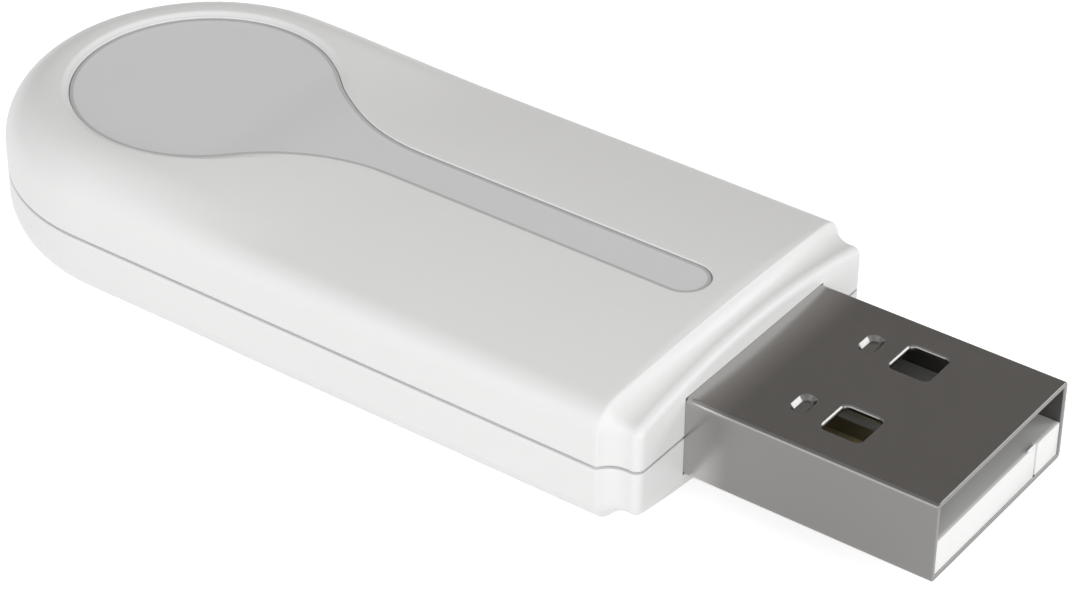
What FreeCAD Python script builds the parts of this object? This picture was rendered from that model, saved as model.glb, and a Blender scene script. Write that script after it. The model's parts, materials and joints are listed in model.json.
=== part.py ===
# A wireless dongle with a USB type A plug: two moulded shells around a circuit board, a light guide
# let into the top shell, and a folded sheet plug with a white tongue and four contacts.
# Frame: X along the length towards the plug's tip, Y across, Z up. The origin is the centre of the
# bounding box at its lowest face, where the dongle rests on its flat bottom. All sizes in millimetres.
import FreeCAD, Part
import math
import os
from types import SimpleNamespace

import Sketcher

os.makedirs("parts", exist_ok=True)
doc = FreeCAD.newDocument("wireless_dongle")
sheet = doc.addObject("Spreadsheet::Sheet", "Sizes")

# Driving dimensions: alias, value, what it is
SIZES = [
    # housing, outside
    ("housing_length", 45.0, "round back end to front face"),
    ("housing_width", 21.0, "side to side, and the diameter of the round end"),
    ("housing_height", 8.4, "flat bottom to flat top"),
    ("edge_radius", 2.8, "soft round of the back end and of the bottom"),
    ("side_edge", 1.4, "tight round along the top's long edges"),
    ("crown_fall", 0.95, "fall of the top from its middle to its long edges"),
    ("crown_run", 13.0, "length over which the back end's section turns into the crowned one"),
    ("step_inset", 0.75, "how far the collar stands in from the body"),
    ("step_start", 2.4, "start of the shoulder curve, back from the front face"),
    ("step_run", 1.2, "length of the shoulder's S curve"),
    ("nose_bevel", 0.4, "bevel on the collar's front edge"),
    ("seam_gap", 0.16, "open shadow line between the two shells"),
    # housing, inside
    ("side_wall", 1.4, "side wall"),
    ("roof_wall", 1.4, "top and bottom wall"),
    ("front_wall", 2.6, "front wall that holds the plug"),
    ("lip_width", 0.6, "lips along the straight sides of the lower shell"),
    ("lip_end", 1.0, "lips' front ends, back from the cavity's front"),
    ("lip_height", 0.8, "lips above the middle of the seam"),
    ("fit_gap", 0.05, "clearance of what slides into a place of its own"),
    # light guide
    ("rim_width", 0.35, "flat rim of the top beside the guide's round part"),
    ("guide_stem", 2.7, "width of the stem"),
    ("guide_flare", 10.2, "radius of the curves from the round part into the stem"),
    ("guide_end", 3.0, "stem's rounded end, back from the front face"),
    ("guide_recess", 0.5, "guide's face below the housing's top"),
    ("guide_gap", 0.06, "clearance around the guide"),
    ("guide_flange", 0.55, "eight-sided glue flange beyond the round opening"),
    ("flange_height", 0.6, "thickness of the flange"),
    ("pipe_side", 1.7, "square light pipe over each lamp"),
    # plug
    ("plug_width", 12.0, "standard width of the plug's shell"),
    ("plug_height", 4.5, "standard height of the plug's shell"),
    ("plug_reach", 13.6, "plug outside the housing"),
    ("plug_inside", 5.0, "plug inside the housing"),
    ("sheet", 0.3, "sheet of the shell"),
    ("plug_round", 0.25, "outside bend radius of the shell"),
    ("plug_fit", 0.04, "clearance of the shell in the housing"),
    ("window_length", 2.1, "latch window along the plug"),
    ("window_width", 2.25, "latch window across the plug"),
    ("window_spread", 6.0, "across from window centre to window centre"),
    ("window_place", 6.35, "window centre, back from the plug's tip"),
    ("window_round", 0.3, "corner round of a window"),
    ("dimple_length", 1.4, "dimple in the top, across the plug"),
    ("dimple_width", 0.75, "dimple along the plug"),
    ("dimple_place", 9.0, "dimple centre, back from the plug's tip"),
    ("dimple_depth", 0.13, "dimple depth"),
    ("tab_length", 2.4, "solder tabs behind the shell"),
    ("tab_drop", 0.5, "solder tabs below the board"),
    ("tab_rise", 0.8, "solder tabs above the board"),
    # tongue and contacts
    ("tongue_recess", 0.2, "tongue behind the shell's mouth"),
    ("tongue_height", 2.0, "thickness of the tongue"),
    ("tongue_bevel", 0.35, "bevel on the tongue's lower front edge"),
    ("mouth_depth", 11.9, "open depth of the plug above the tongue"),
    ("tongue_fit", 0.03, "clearance of the tongue in the shell"),
    ("slit_place", 3.45, "parting slit in the tongue's front, from the middle"),
    ("slit_width", 0.1, "parting slit"),
    ("slit_depth", 0.25, "parting slit"),
    ("nub_width", 0.85, "moulding nub beside the slit"),
    ("nub_height", 0.12, "moulding nub on the tongue"),
    ("contact_width", 1.0, "width of a contact"),
    ("contact_sheet", 0.25, "thickness of a contact"),
    ("contact_sunk", 0.1, "how deep a contact lies in its channel"),
    ("contact_nose", 0.5, "bent nose of a contact"),
    ("outer_pitch", 7.0, "from outer contact to outer contact"),
    ("inner_pitch", 2.0, "from data contact to data contact"),
    ("outer_start", 1.9, "outer contacts' front, back from the tip"),
    ("inner_start", 2.9, "data contacts' front, back from the tip"),
    ("tail_length", 2.1, "contact tail on the board"),
    # circuit board
    ("board_sheet", 0.8, "thickness of the board"),
    ("board_margin", 0.6, "board edge to cavity wall"),
    ("board_gap", 0.2, "board's front edge to the plug's back"),
    ("post_side", 2.2, "square posts that carry and clamp the board"),
    ("pin_side", 1.0, "square pins on the lower front posts"),
    ("pin_height", 0.8, "pin above the board"),
    ("hole_side", 1.2, "square hole in the board for a pin"),
    ("post_edge", 1.5, "post centre to the board's long edge"),
    ("front_post", 3.8, "front posts, back from the board's front edge"),
    ("rear_post", 19.6, "rear posts, back from the board's front edge"),
    ("rest_spread", 9.0, "across from back rest to back rest"),
    ("rib_sheet", 0.9, "ribs behind the plug"),
    ("rib_width", 2.0, "ribs behind the plug"),
    ("rib_spread", 8.0, "across from rib to rib"),
    # lamps
    ("lamp_length", 1.6, "case of a lamp"),
    ("lamp_width", 0.8, "case of a lamp"),
    ("lamp_height", 0.6, "case of a lamp"),
    ("lamp_gap", 0.3, "light pipe above its lamp"),
    ("status_place", 7.2, "status lamp, back from the board's front edge"),
    # chips and cans
    ("radio_side", 5.0, "radio chip"),
    ("radio_height", 0.85, "radio chip"),
    ("radio_place", 17.0, "radio chip, back from the board's front edge"),
    ("can_length", 10.8, "shield can"),
    ("can_width", 9.4, "shield can"),
    ("can_height", 1.6, "shield can"),
    ("can_sheet", 0.2, "shield can"),
    ("can_place", 18.5, "shield can, back from the board's front edge"),
    ("crystal_length", 3.2, "crystal"),
    ("crystal_width", 2.5, "crystal"),
    ("crystal_height", 0.7, "crystal"),
    ("crystal_place", 21.6, "crystal, back from the board's front edge"),
    ("flash_length", 5.0, "flash chip"),
    ("flash_width", 4.0, "flash chip"),
    ("flash_height", 1.5, "flash chip"),
    ("flash_place", 9.4, "flash chip, back from the board's front edge"),
    ("flash_side", 4.3, "flash chip, from the middle"),
    ("small_length", 2.9, "six-legged chip"),
    ("small_width", 1.6, "six-legged chip"),
    ("small_height", 1.1, "six-legged chip"),
    ("guard_place", 4.4, "surge guard, back from the board's front edge"),
    ("regulator_place", 7.0, "voltage regulator, back from the board's front edge"),
    ("regulator_side", 4.6, "voltage regulator, from the middle"),
    ("coil_side", 3.0, "power coil"),
    ("coil_height", 1.2, "power coil"),
    ("coil_place", 11.0, "power coil, back from the board's front edge"),
    ("coil_offset", 4.2, "power coil, from the middle"),
    ("antenna_length", 6.4, "ceramic antenna across the board"),
    ("antenna_width", 2.0, "ceramic antenna along the board"),
    ("antenna_height", 1.2, "ceramic antenna"),
    ("antenna_edge", 1.0, "ceramic antenna to the board's round edge"),
    ("lead_width", 0.4, "leads of the chips"),
    ("lead_sheet", 0.15, "leads of the chips"),
    ("lead_length", 0.9, "leads of the chips"),
    ("lead_pitch", 1.27, "leads of the flash chip"),
    ("small_pitch", 0.95, "leads of the six-legged chips"),
    ("case_bevel", 0.12, "bevel on moulded cases"),
    # capacitors, resistors and other two-ended parts
    ("large_length", 2.0, "large case"),
    ("large_width", 1.25, "large case"),
    ("large_height", 1.0, "large case"),
    ("little_length", 1.0, "little case"),
    ("little_width", 0.5, "little case"),
    ("little_height", 0.5, "little case"),
    ("cap_length", 0.25, "metal ends of a case"),
    ("cap_proud", 0.03, "metal ends beyond the case"),
]


class Size:
    """A length as a formula of the sheet's cells, with the value that it has now."""

    def __init__(self, text, value):
        self.text, self.value = text, value

    def join(self, sign, other, value, turned=False):
        other_text = other.text if isinstance(other, Size) else repr(float(other))
        left, right = (other_text, self.text) if turned else (self.text, other_text)
        return Size("(%s %s %s)" % (left, sign, right), value)

    def __add__(self, other):
        return self.join("+", other, self.value + number(other))

    def __radd__(self, other):
        return self.join("+", other, self.value + number(other), True)

    def __sub__(self, other):
        return self.join("-", other, self.value - number(other))

    def __rsub__(self, other):
        return self.join("-", other, number(other) - self.value, True)

    def __mul__(self, other):
        return self.join("*", other, self.value * number(other))

    def __rmul__(self, other):
        return self.join("*", other, self.value * number(other), True)

    def __truediv__(self, other):
        return self.join("/", other, self.value / number(other))

    def __neg__(self):
        return Size("(0 - %s)" % self.text, -self.value)

    def root(self):
        return Size("sqrt(%s)" % self.text, math.sqrt(self.value))


def number(thing):
    return thing.value if isinstance(thing, Size) else float(thing)


def formula(thing):
    return thing.text if isinstance(thing, Size) else repr(float(thing))


cells = {}
for row, (alias, value, note) in enumerate(SIZES, start=1):
    sheet.set("A%d" % row, note)
    sheet.set("B%d" % row, str(value))
    sheet.setAlias("B%d" % row, alias)
    cells[alias] = Size("Sizes." + alias, value)
doc.recompute()
s = SimpleNamespace(**cells)

# Places that follow from the sizes
half_width = s.housing_width / 2
back_x = -(s.housing_length + s.plug_reach) / 2
face_x = back_x + s.housing_length
tip_x = face_x + s.plug_reach
round_x = back_x + half_width
seam_z = s.housing_height / 2
upper_rim_z = seam_z + s.seam_gap / 2
lower_rim_z = seam_z - s.seam_gap / 2
roof_z = s.housing_height - s.roof_wall
floor_z = 1.0 * s.roof_wall
lip_z = seam_z + s.lip_height
cavity_half = half_width - s.side_wall
guide_radius = half_width - s.edge_radius - s.rim_width
cavity_front = face_x - s.front_wall
plug_back = face_x - s.plug_inside
shell_bottom = seam_z - s.plug_height / 2
shell_top = seam_z + s.plug_height / 2
tongue_bottom = shell_bottom + s.sheet
tongue_top = tongue_bottom + s.tongue_height
contact_bottom = tongue_top - s.contact_sunk
contact_top = contact_bottom + s.contact_sheet
board_top = 1.0 * contact_bottom
board_bottom = board_top - s.board_sheet
board_front = plug_back - s.board_gap
board_half = cavity_half - s.board_margin
flange_bottom = roof_z - s.flange_height
lamp_top = board_top + s.lamp_height
pin_x = board_front - s.front_post
post_rows = [pin_x, board_front - s.rear_post]
post_sides = [s.post_edge - board_half, board_half - s.post_edge]
status_x = board_front - s.status_place
link_x = 1.0 * round_x
tab_inner = s.plug_width / 2 - s.sheet

SUBPARTS = []


def bind(thing, prop, length):
    thing.setExpression(prop, formula(length))


def subpart(thing, label):
    """Names a finished piece and keeps it for the export."""
    thing.Label = label
    SUBPARTS.append((label, thing))
    return thing


# Sketches
class Arc:
    """A step of an outline that reaches (x, y) by an arc about (cx, cy)."""

    def __init__(self, x, y, cx, cy, left=True):
        self.x, self.y, self.cx, self.cy, self.left = x, y, cx, cy, left


def place(sketch, geometry, point, x, y):
    """Ties a point of the sketch to its coordinates."""
    for kind, length in (("DistanceX", x), ("DistanceY", y)):
        if length is not None:
            index = sketch.addConstraint(Sketcher.Constraint(kind, -1, 1, geometry, point, number(length)))
            sketch.setExpression("Constraints[%d]" % index, formula(length))


def draw(sketch, steps, closed=True):
    """Draws an outline of lines and arcs. A plain step is a point that a line reaches."""
    points = [(t.x, t.y) if isinstance(t, Arc) else t for t in steps]
    joints = []
    count = len(steps) if closed else len(steps) - 1
    for i in range(count):
        step = steps[(i + 1) % len(steps)]
        (x0, y0), (x1, y1) = points[i], points[(i + 1) % len(steps)]
        a = FreeCAD.Vector(number(x0), number(y0), 0)
        b = FreeCAD.Vector(number(x1), number(y1), 0)
        if isinstance(step, Arc):
            c = FreeCAD.Vector(number(step.cx), number(step.cy), 0)
            circle = Part.Circle(c, FreeCAD.Vector(0, 0, 1), (a - c).Length)
            first, last = (a, b) if step.left else (b, a)
            start = math.atan2(first.y - c.y, first.x - c.x)
            end = math.atan2(last.y - c.y, last.x - c.x)
            if end <= start:
                end += 2 * math.pi
            geometry = sketch.addGeometry(Part.ArcOfCircle(circle, start, end), False)
            joints.append((geometry, 1, 2) if step.left else (geometry, 2, 1))
            # the centre lies on the chord's bisector, so one coordinate settles it
            if abs(b.y - a.y) > abs(b.x - a.x):
                place(sketch, geometry, 3, step.cx, None)
            else:
                place(sketch, geometry, 3, None, step.cy)
        else:
            geometry = sketch.addGeometry(Part.LineSegment(a, b), False)
            joints.append((geometry, 1, 2))
    for i, (geometry, start, end) in enumerate(joints):
        place(sketch, geometry, start, *points[i])
        if i + 1 < len(joints) or closed:
            other, other_start, _ = joints[(i + 1) % len(joints)]
            sketch.addConstraint(Sketcher.Constraint("Coincident", geometry, end, other, other_start))
        else:
            place(sketch, geometry, end, *points[i + 1])


def rectangle(x0, x1, y0, y1):
    return [(x0, y0), (x1, y0), (x1, y1), (x0, y1)]


def rounded(x0, x1, y0, y1, r):
    """A rectangle with round corners."""
    return [Arc(x0 + r, y0, x0 + r, y0 + r), (x1 - r, y0), Arc(x1, y0 + r, x1 - r, y0 + r), (x1, y1 - r),
            Arc(x1 - r, y1, x1 - r, y1 - r), (x0 + r, y1), Arc(x0, y1 - r, x0 + r, y1 - r), (x0, y0 + r)]


def plan_form(front, half):
    """The plan of the inside: a round back end, straight sides and a straight front."""
    return [Arc(round_x, -half, round_x, 0.0), (front, -half), (front, half), (round_x, half)]


def squares(centres, side):
    """Squares about their centres."""
    return [rectangle(x - side / 2, x + side / 2, y - side / 2, y + side / 2) for x, y in centres]


def lollipop(grow):
    """The plan of the light guide, grown outwards: a disc that flares into a stem."""
    radius, stem, flare = guide_radius + grow, s.guide_stem / 2 + grow, s.guide_flare - grow
    rise = stem + flare
    reach = ((radius + flare) * (radius + flare) - rise * rise).root()
    share = radius / (radius + flare)
    foot_x = round_x + reach
    touch_x, touch_y = round_x + reach * share, rise * share
    end_x = face_x - s.guide_end - s.guide_stem / 2
    return [Arc(touch_x, -touch_y, round_x, 0.0), Arc(foot_x, -stem, foot_x, -rise, left=False),
            (end_x, -stem), Arc(end_x, stem, end_x, 0.0), (foot_x, stem),
            Arc(touch_x, touch_y, foot_x, rise, left=False)]


def sketch_on(body, name, role, outlines, height=None, shift=None):
    """A sketch on one of the body's own planes, raised along the plane's normal by height."""
    sketch = body.newObject("Sketcher::SketchObject", name)
    plane = next(f for f in body.Origin.OriginFeatures if f.Role == role)
    sketch.AttachmentSupport = (plane, [""])
    sketch.MapMode = "FlatFace"
    if height is not None:
        bind(sketch, "AttachmentOffset.Base.z", height)
    if shift is not None:
        bind(sketch, "AttachmentOffset.Base.x", shift)
    for steps in outlines:
        draw(sketch, steps)
    return sketch


# Features
def new_body(name):
    return doc.addObject("PartDesign::Body", name)


def pad(body, name, sketch, length, turned=False):
    feature = body.newObject("PartDesign::Pad", name)
    feature.Profile = sketch
    bind(feature, "Length", length)
    feature.Reversed = turned
    return feature


def pocket(body, name, sketch, length, turned=False):
    """Cuts against the sketch's normal, or along it when turned, and checks that it cut."""
    doc.recompute()
    before = body.Shape.Volume
    feature = body.newObject("PartDesign::Pocket", name)
    feature.Profile = sketch
    bind(feature, "Length", length)
    feature.Reversed = turned
    doc.recompute()
    if body.Shape.Volume >= before:
        raise RuntimeError("%s cuts nothing" % name)
    return feature


def level(edge, z):
    """Whether an edge lies all along one height."""
    return abs(edge.BoundBox.ZMin - number(z)) < 1e-4 and abs(edge.BoundBox.ZMax - number(z)) < 1e-4


# Housing shells
def soft_section(flat_z, side):
    """One side of a shell's section, from its middle to its wall: flat, then a soft round."""
    turn_z, inner = flat_z - side * s.edge_radius, half_width - s.edge_radius
    return (inner, flat_z), (inner, turn_z), None


def crowned_section(flat_z):
    """The same for the crowned top: a wide arc that a tight round meets smoothly."""
    across = half_width - s.side_edge
    between = (across * across + s.crown_fall * s.crown_fall) / (2 * s.crown_fall)
    radius = between + s.side_edge
    touch = (radius * across / between, flat_z - radius * s.crown_fall / between)
    return touch, (across, flat_z - s.side_edge - s.crown_fall), flat_z - radius


def top_steps(form, up):
    """The steps of an outline from the far wall over the top to the near wall."""
    (touch_y, touch_z), (centre_y, centre_z), crown_z = form
    over = (-touch_y, touch_z)
    if crown_z is not None:
        over = Arc(-touch_y, touch_z, 0.0, crown_z, left=up)
    return [(half_width, centre_z), Arc(touch_y, touch_z, centre_y, centre_z, left=up), over,
            Arc(-half_width, centre_z, -centre_y, centre_z, left=up)]


def shell_form(body, rim_z, side):
    """The outside of one shell, between its rim and its flat face, with the shoulder at the front."""
    flat_z = seam_z + side * seam_z
    up = side > 0
    soft = soft_section(flat_z, side)
    front_form = crowned_section(flat_z) if up else soft
    straight_x = round_x + s.crown_run if up else round_x
    foot = [(-half_width, rim_z), (half_width, rim_z)]
    cross = sketch_on(body, "cross_section", "YZ_Plane", [foot + top_steps(front_form, up)],
                      height=straight_x)
    pad(body, "straight_part", cross, face_x - straight_x)
    if up:
        back = sketch_on(body, "back_section", "YZ_Plane", [foot + top_steps(soft, up)], height=round_x)
        front = sketch_on(body, "turned_section", "YZ_Plane", [foot + top_steps(front_form, up)],
                          height=straight_x)
        loft = body.newObject("PartDesign::AdditiveLoft", "crowned_part")
        loft.Profile = back
        loft.Sections = [(front, [""])]
        loft.Ruled = True
    (inner, _), (_, turn_z), _ = soft
    quarter = [(0.0, rim_z), (0.0, flat_z), (-inner, flat_z),
               Arc(-half_width, turn_z, -inner, turn_z, left=up), (-half_width, rim_z)]
    profile = sketch_on(body, "round_section", "XZ_Plane", [quarter], shift=round_x)
    turned = body.newObject("PartDesign::Revolution", "round_end")
    turned.Profile = profile
    turned.ReferenceAxis = (profile, ["V_Axis"])
    turned.Angle = 180
    turned.Midplane = True
    # the shoulder is an S curve, and with the bevel at the front it is led along the section
    path = sketch_on(body, "shoulder_path", "YZ_Plane", [])
    draw(path, [(half_width, seam_z)] + top_steps(front_form, up) + [(-half_width, seam_z)], closed=False)
    start_x, d, run = face_x - s.step_start, s.step_inset, s.step_run
    bend = (run * run + d * d) / (4 * d)
    side_y, nose = 1.0 * half_width, 1.0 * s.nose_bevel
    beyond = 1.0
    cut = [(start_x, side_y), Arc(start_x + run / 2, side_y - d / 2, start_x, side_y - bend, left=False),
           Arc(start_x + run, side_y - d, start_x + run, side_y - d + bend),
           (face_x - nose, side_y - d), (face_x, side_y - d - nose),
           (face_x + beyond, side_y - d - nose), (face_x + beyond, side_y + beyond),
           (start_x, side_y + beyond)]
    profile = sketch_on(body, "shoulder_curve", "XY_Plane", [cut], height=seam_z)
    doc.recompute()
    before = body.Shape.Volume
    pipe = body.newObject("PartDesign::SubtractivePipe", "shoulder")
    pipe.Profile = profile
    pipe.Spine = (path, [])
    doc.recompute()
    if body.Shape.Volume >= before:
        raise RuntimeError("the shoulder cuts nothing")


def lips(grow):
    """The plans of the two lips, or of their grooves when grown."""
    inner, outer = cavity_half - grow, cavity_half + s.lip_width + grow
    back, front = round_x - grow, cavity_front - s.lip_end + grow
    return [rectangle(back, front, -outer, -inner), rectangle(back, front, inner, outer)]


def post_places():
    return [(x, y) for x in post_rows for y in post_sides]


def pin_places():
    return [(pin_x, y) for y in post_sides]


def plug_opening(body):
    half, reach = s.plug_width / 2 + s.plug_fit, s.plug_height / 2 + s.plug_fit
    opening = rectangle(-half, half, seam_z - reach, seam_z + reach)
    pocket(body, "plug_opening", sketch_on(body, "plug_hole", "YZ_Plane", [opening], height=face_x),
           s.front_wall + s.lip_width + s.fit_gap)


def upper_housing():
    body = new_body("upper_housing")
    shell_form(body, upper_rim_z, 1)
    room = sketch_on(body, "room", "XY_Plane", [plan_form(cavity_front, cavity_half)], height=upper_rim_z)
    pocket(body, "cavity", room, roof_z - upper_rim_z, turned=True)
    pocket(body, "lip_grooves", sketch_on(body, "groove_plan", "XY_Plane", lips(s.fit_gap),
                                          height=upper_rim_z), lip_z - upper_rim_z, turned=True)
    plug_opening(body)
    slot = sketch_on(body, "guide_slot", "XY_Plane", [lollipop(0.0)], height=s.housing_height)
    pocket(body, "guide_opening", slot, 1.0 * s.roof_wall)
    posts = sketch_on(body, "clamp_squares", "XY_Plane", squares(post_places(), s.post_side),
                      height=board_top)
    pad(body, "clamp_posts", posts, roof_z - board_top + s.roof_wall / 2)
    sockets = sketch_on(body, "socket_squares", "XY_Plane",
                        squares(pin_places(), s.pin_side + 2 * s.fit_gap), height=board_top)
    pocket(body, "pin_sockets", sockets, s.pin_height + 2 * s.fit_gap, turned=True)
    return subpart(body, "upper_housing")


def lower_housing():
    body = new_body("lower_housing")
    shell_form(body, lower_rim_z, -1)
    room = sketch_on(body, "room", "XY_Plane", [plan_form(cavity_front, cavity_half)], height=lower_rim_z)
    pocket(body, "cavity", room, lower_rim_z - floor_z)
    pad(body, "lips", sketch_on(body, "lip_plan", "XY_Plane", lips(0.0), height=lower_rim_z),
        lip_z - lower_rim_z)
    plug_opening(body)
    sunk = s.roof_wall / 2
    rests = [(round_x - s.post_side, -s.rest_spread / 2), (round_x - s.post_side, s.rest_spread / 2)]
    posts = sketch_on(body, "post_squares", "XY_Plane", squares(post_places() + rests, s.post_side),
                      height=floor_z - sunk)
    pad(body, "posts", posts, board_bottom - floor_z + sunk)
    pins = sketch_on(body, "pin_squares", "XY_Plane", squares(pin_places(), s.pin_side),
                     height=board_bottom)
    pad(body, "pins", pins, s.board_sheet + s.pin_height)
    ribs = [rectangle(plug_back - s.rib_sheet, plug_back, y - s.rib_width / 2, y + s.rib_width / 2)
            for y in (-s.rib_spread / 2, s.rib_spread / 2)]
    pad(body, "plug_ribs", sketch_on(body, "rib_plan", "XY_Plane", ribs, height=floor_z - sunk),
        board_bottom - floor_z + sunk)
    return subpart(body, "lower_housing")


def light_guide():
    body = new_body("light_guide")
    # the flange has eight sides and lies under the roof around the round opening
    reach = guide_radius + s.guide_flange
    corner = reach * math.tan(math.radians(22.5))
    eight = [(round_x + reach, -corner), (round_x + reach, corner), (round_x + corner, reach),
             (round_x - corner, reach), (round_x - reach, corner), (round_x - reach, -corner),
             (round_x - corner, -reach), (round_x + corner, -reach)]
    flange = sketch_on(body, "flange_plan", "XY_Plane", [eight], height=flange_bottom)
    pad(body, "flange", flange, s.flange_height)
    face = sketch_on(body, "face_plan", "XY_Plane", [lollipop(-s.guide_gap)], height=roof_z)
    pad(body, "face", face, s.housing_height - s.guide_recess - roof_z)
    pipes = sketch_on(body, "pipe_squares", "XY_Plane",
                      squares([(status_x, 0.0), (link_x, 0.0)], s.pipe_side),
                      height=lamp_top + s.lamp_gap)
    pad(body, "light_pipes", pipes, roof_z - lamp_top - s.lamp_gap + s.roof_wall / 4)
    return subpart(body, "light_guide")


# Plug
def plug_shell():
    body = new_body("plug_shell")
    half, t, r = s.plug_width / 2, 1.0 * s.sheet, 1.0 * s.plug_round
    ring = [rounded(-half, half, shell_bottom, shell_top, r),
            rectangle(-half + t, half - t, shell_bottom + t, shell_top - t)]
    pad(body, "tube", sketch_on(body, "tube_section", "YZ_Plane", ring, height=plug_back),
        tip_x - plug_back)
    tabs = []
    for side in (-1, 1):
        edges = [side * tab_inner, side * half]
        tabs.append(rectangle(plug_back - s.tab_length, plug_back + 1.0, *sorted(edges, key=number)))
    tab_bottom = board_bottom - s.tab_drop
    pad(body, "solder_tabs", sketch_on(body, "tab_plan", "XY_Plane", tabs, height=tab_bottom),
        s.board_sheet + s.tab_drop + s.tab_rise)
    window_x = tip_x - s.window_place
    windows, dimples = [], []
    dimple_x = tip_x - s.dimple_place
    for side in (-1, 1):
        y = side * s.window_spread / 2
        windows.append(rounded(window_x - s.window_length / 2, window_x + s.window_length / 2,
                               y - s.window_width / 2, y + s.window_width / 2, s.window_round))
        arm, w = (s.dimple_length - s.dimple_width) / 2, s.dimple_width / 2
        dimples.append([Arc(dimple_x + w, y - arm, dimple_x, y - arm), (dimple_x + w, y + arm),
                        Arc(dimple_x - w, y + arm, dimple_x, y + arm), (dimple_x - w, y - arm)])
    pocket(body, "windows", sketch_on(body, "window_plan", "XY_Plane", windows, height=shell_top),
           1.0 * s.plug_height)
    pocket(body, "dimples", sketch_on(body, "dimple_plan", "XY_Plane", dimples, height=shell_top),
           s.dimple_depth)
    return subpart(body, "plug_shell")


def plug_tongue():
    body = new_body("plug_tongue")
    half = s.plug_width / 2 - s.sheet - s.tongue_fit
    front = tip_x - s.tongue_recess
    plate = rectangle(-half, half, tongue_bottom, tongue_top)
    pad(body, "plate", sketch_on(body, "plate_section", "YZ_Plane", [plate], height=plug_back),
        front - plug_back)
    root = rectangle(-half, half, tongue_top, shell_top - s.sheet - s.tongue_fit)
    pad(body, "root", sketch_on(body, "root_section", "YZ_Plane", [root], height=plug_back),
        tip_x - s.mouth_depth - plug_back)
    nub = rectangle(s.slit_place - s.nub_width, s.slit_place,
                    tongue_top - s.nub_height, tongue_top + s.nub_height)
    pad(body, "nub", sketch_on(body, "nub_section", "YZ_Plane", [nub], height=front - 2 * s.slit_depth),
        2 * s.slit_depth)
    beyond, bevel = 1.0, 1.0 * s.tongue_bevel
    wedge = [(front - bevel, tongue_bottom), (front, tongue_bottom + bevel),
             (front + beyond, tongue_bottom + bevel), (front + beyond, tongue_bottom - beyond),
             (front - bevel, tongue_bottom - beyond)]
    pocket(body, "front_bevel", sketch_on(body, "bevel_side", "XZ_Plane", [wedge], height=half), 2 * half)
    slit = rectangle(s.slit_place, s.slit_place + s.slit_width, tongue_bottom, tongue_top + s.nub_height)
    pocket(body, "slit", sketch_on(body, "slit_section", "YZ_Plane", [slit], height=front), s.slit_depth)
    for label, pitch, start in (("outer", s.outer_pitch, s.outer_start),
                                ("inner", s.inner_pitch, s.inner_start)):
        channels = []
        for side in (-1, 1):
            y, w = side * pitch / 2, s.contact_width / 2 + s.tongue_fit
            channels.append(rectangle(y - w, y + w, contact_bottom, contact_top + s.tongue_fit))
        cut = sketch_on(body, label + "_channels", "YZ_Plane", channels, height=plug_back)
        pocket(body, label + "_channel", cut, tip_x - start + s.tongue_fit - plug_back, turned=True)
        noses = []
        for side in (-1, 1):
            y, w = side * pitch / 2, s.contact_width / 2 + s.tongue_fit
            noses.append(rectangle(tip_x - start - s.contact_sheet - s.tongue_fit,
                                   tip_x - start + s.tongue_fit, y - w, y + w))
        cut = sketch_on(body, label + "_noses", "XY_Plane", noses, height=tongue_top)
        pocket(body, label + "_nose", cut, s.contact_sunk + s.contact_nose)
    return subpart(body, "plug_tongue")


def contact(label, y, start):
    """A contact strip: a nose bent down into the tongue, a flat run and a tail on the board."""
    body = new_body(label)
    front, back = tip_x - start, plug_back - s.tail_length
    t, low = 1.0 * s.contact_sheet, 1.0 * contact_bottom
    foot = low - s.contact_nose + s.tongue_fit
    side = [(back, low), (front - t, low), (front - t, foot), (front, foot), (front, low),
            Arc(front - t, low + t, front - t, low), (back, low + t)]
    sketch = sketch_on(body, label + "_side", "XZ_Plane", [side], height=-(y + s.contact_width / 2))
    pad(body, label + "_strip", sketch, s.contact_width)
    return subpart(body, label)


# Circuit board
def circuit_board():
    body = new_body("circuit_board")
    plan = [plan_form(board_front, board_half)]
    sketch = sketch_on(body, "board_plan", "XY_Plane", plan, height=board_bottom)
    pad(body, "laminate", sketch, s.board_sheet)
    holes = sketch_on(body, "board_holes", "XY_Plane", squares(pin_places(), s.hole_side),
                      height=board_top)
    pocket(body, "pin_holes", holes, s.board_sheet + 0.2)
    notches = []
    for side in (-1, 1):
        edges = [side * (tab_inner - s.fit_gap), side * (s.plug_width / 2 + s.fit_gap)]
        notches.append(rectangle(plug_back - s.tab_length - s.fit_gap, board_front + 1.0,
                                 *sorted(edges, key=number)))
    pocket(body, "tab_notches", sketch_on(body, "notch_plan", "XY_Plane", notches, height=board_top),
           s.board_sheet + 0.2)
    return subpart(body, "circuit_board")


# Components on the board, each built about its own foot and then placed
def block(name, x0, length, y0, width, z0, height):
    box = doc.addObject("Part::Box", name)
    for prop, size in (("Length", length), ("Width", width), ("Height", height),
                       ("Placement.Base.x", x0), ("Placement.Base.y", y0), ("Placement.Base.z", z0)):
        bind(box, prop, size)
    return box


def centred(name, length, width, z0, height, x=0.0, y=0.0):
    return block(name, x - length / 2, length, y - width / 2, width, z0, height)


def bevelled(name, base, amount, top):
    """Bevels the top edges of a case."""
    doc.recompute()
    shape = doc.addObject("Part::Chamfer", name)
    shape.Base = base
    value = number(amount)
    shape.Edges = [(i + 1, value, value) for i, edge in enumerate(base.Shape.Edges) if level(edge, top)]
    return shape


def fused(label, pieces):
    whole = doc.addObject("Part::MultiFuse", label)
    whole.Shapes = pieces
    whole.Refine = True
    return whole


def set_down(thing, label, x, y, turned=False):
    """Stands a component on the board, turned a quarter when asked."""
    if turned:
        thing.Placement.Rotation = FreeCAD.Rotation(FreeCAD.Vector(0, 0, 1), 90)
    bind(thing, "Placement.Base.x", x)
    bind(thing, "Placement.Base.y", y)
    bind(thing, "Placement.Base.z", board_top)
    return subpart(thing, label)


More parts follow.
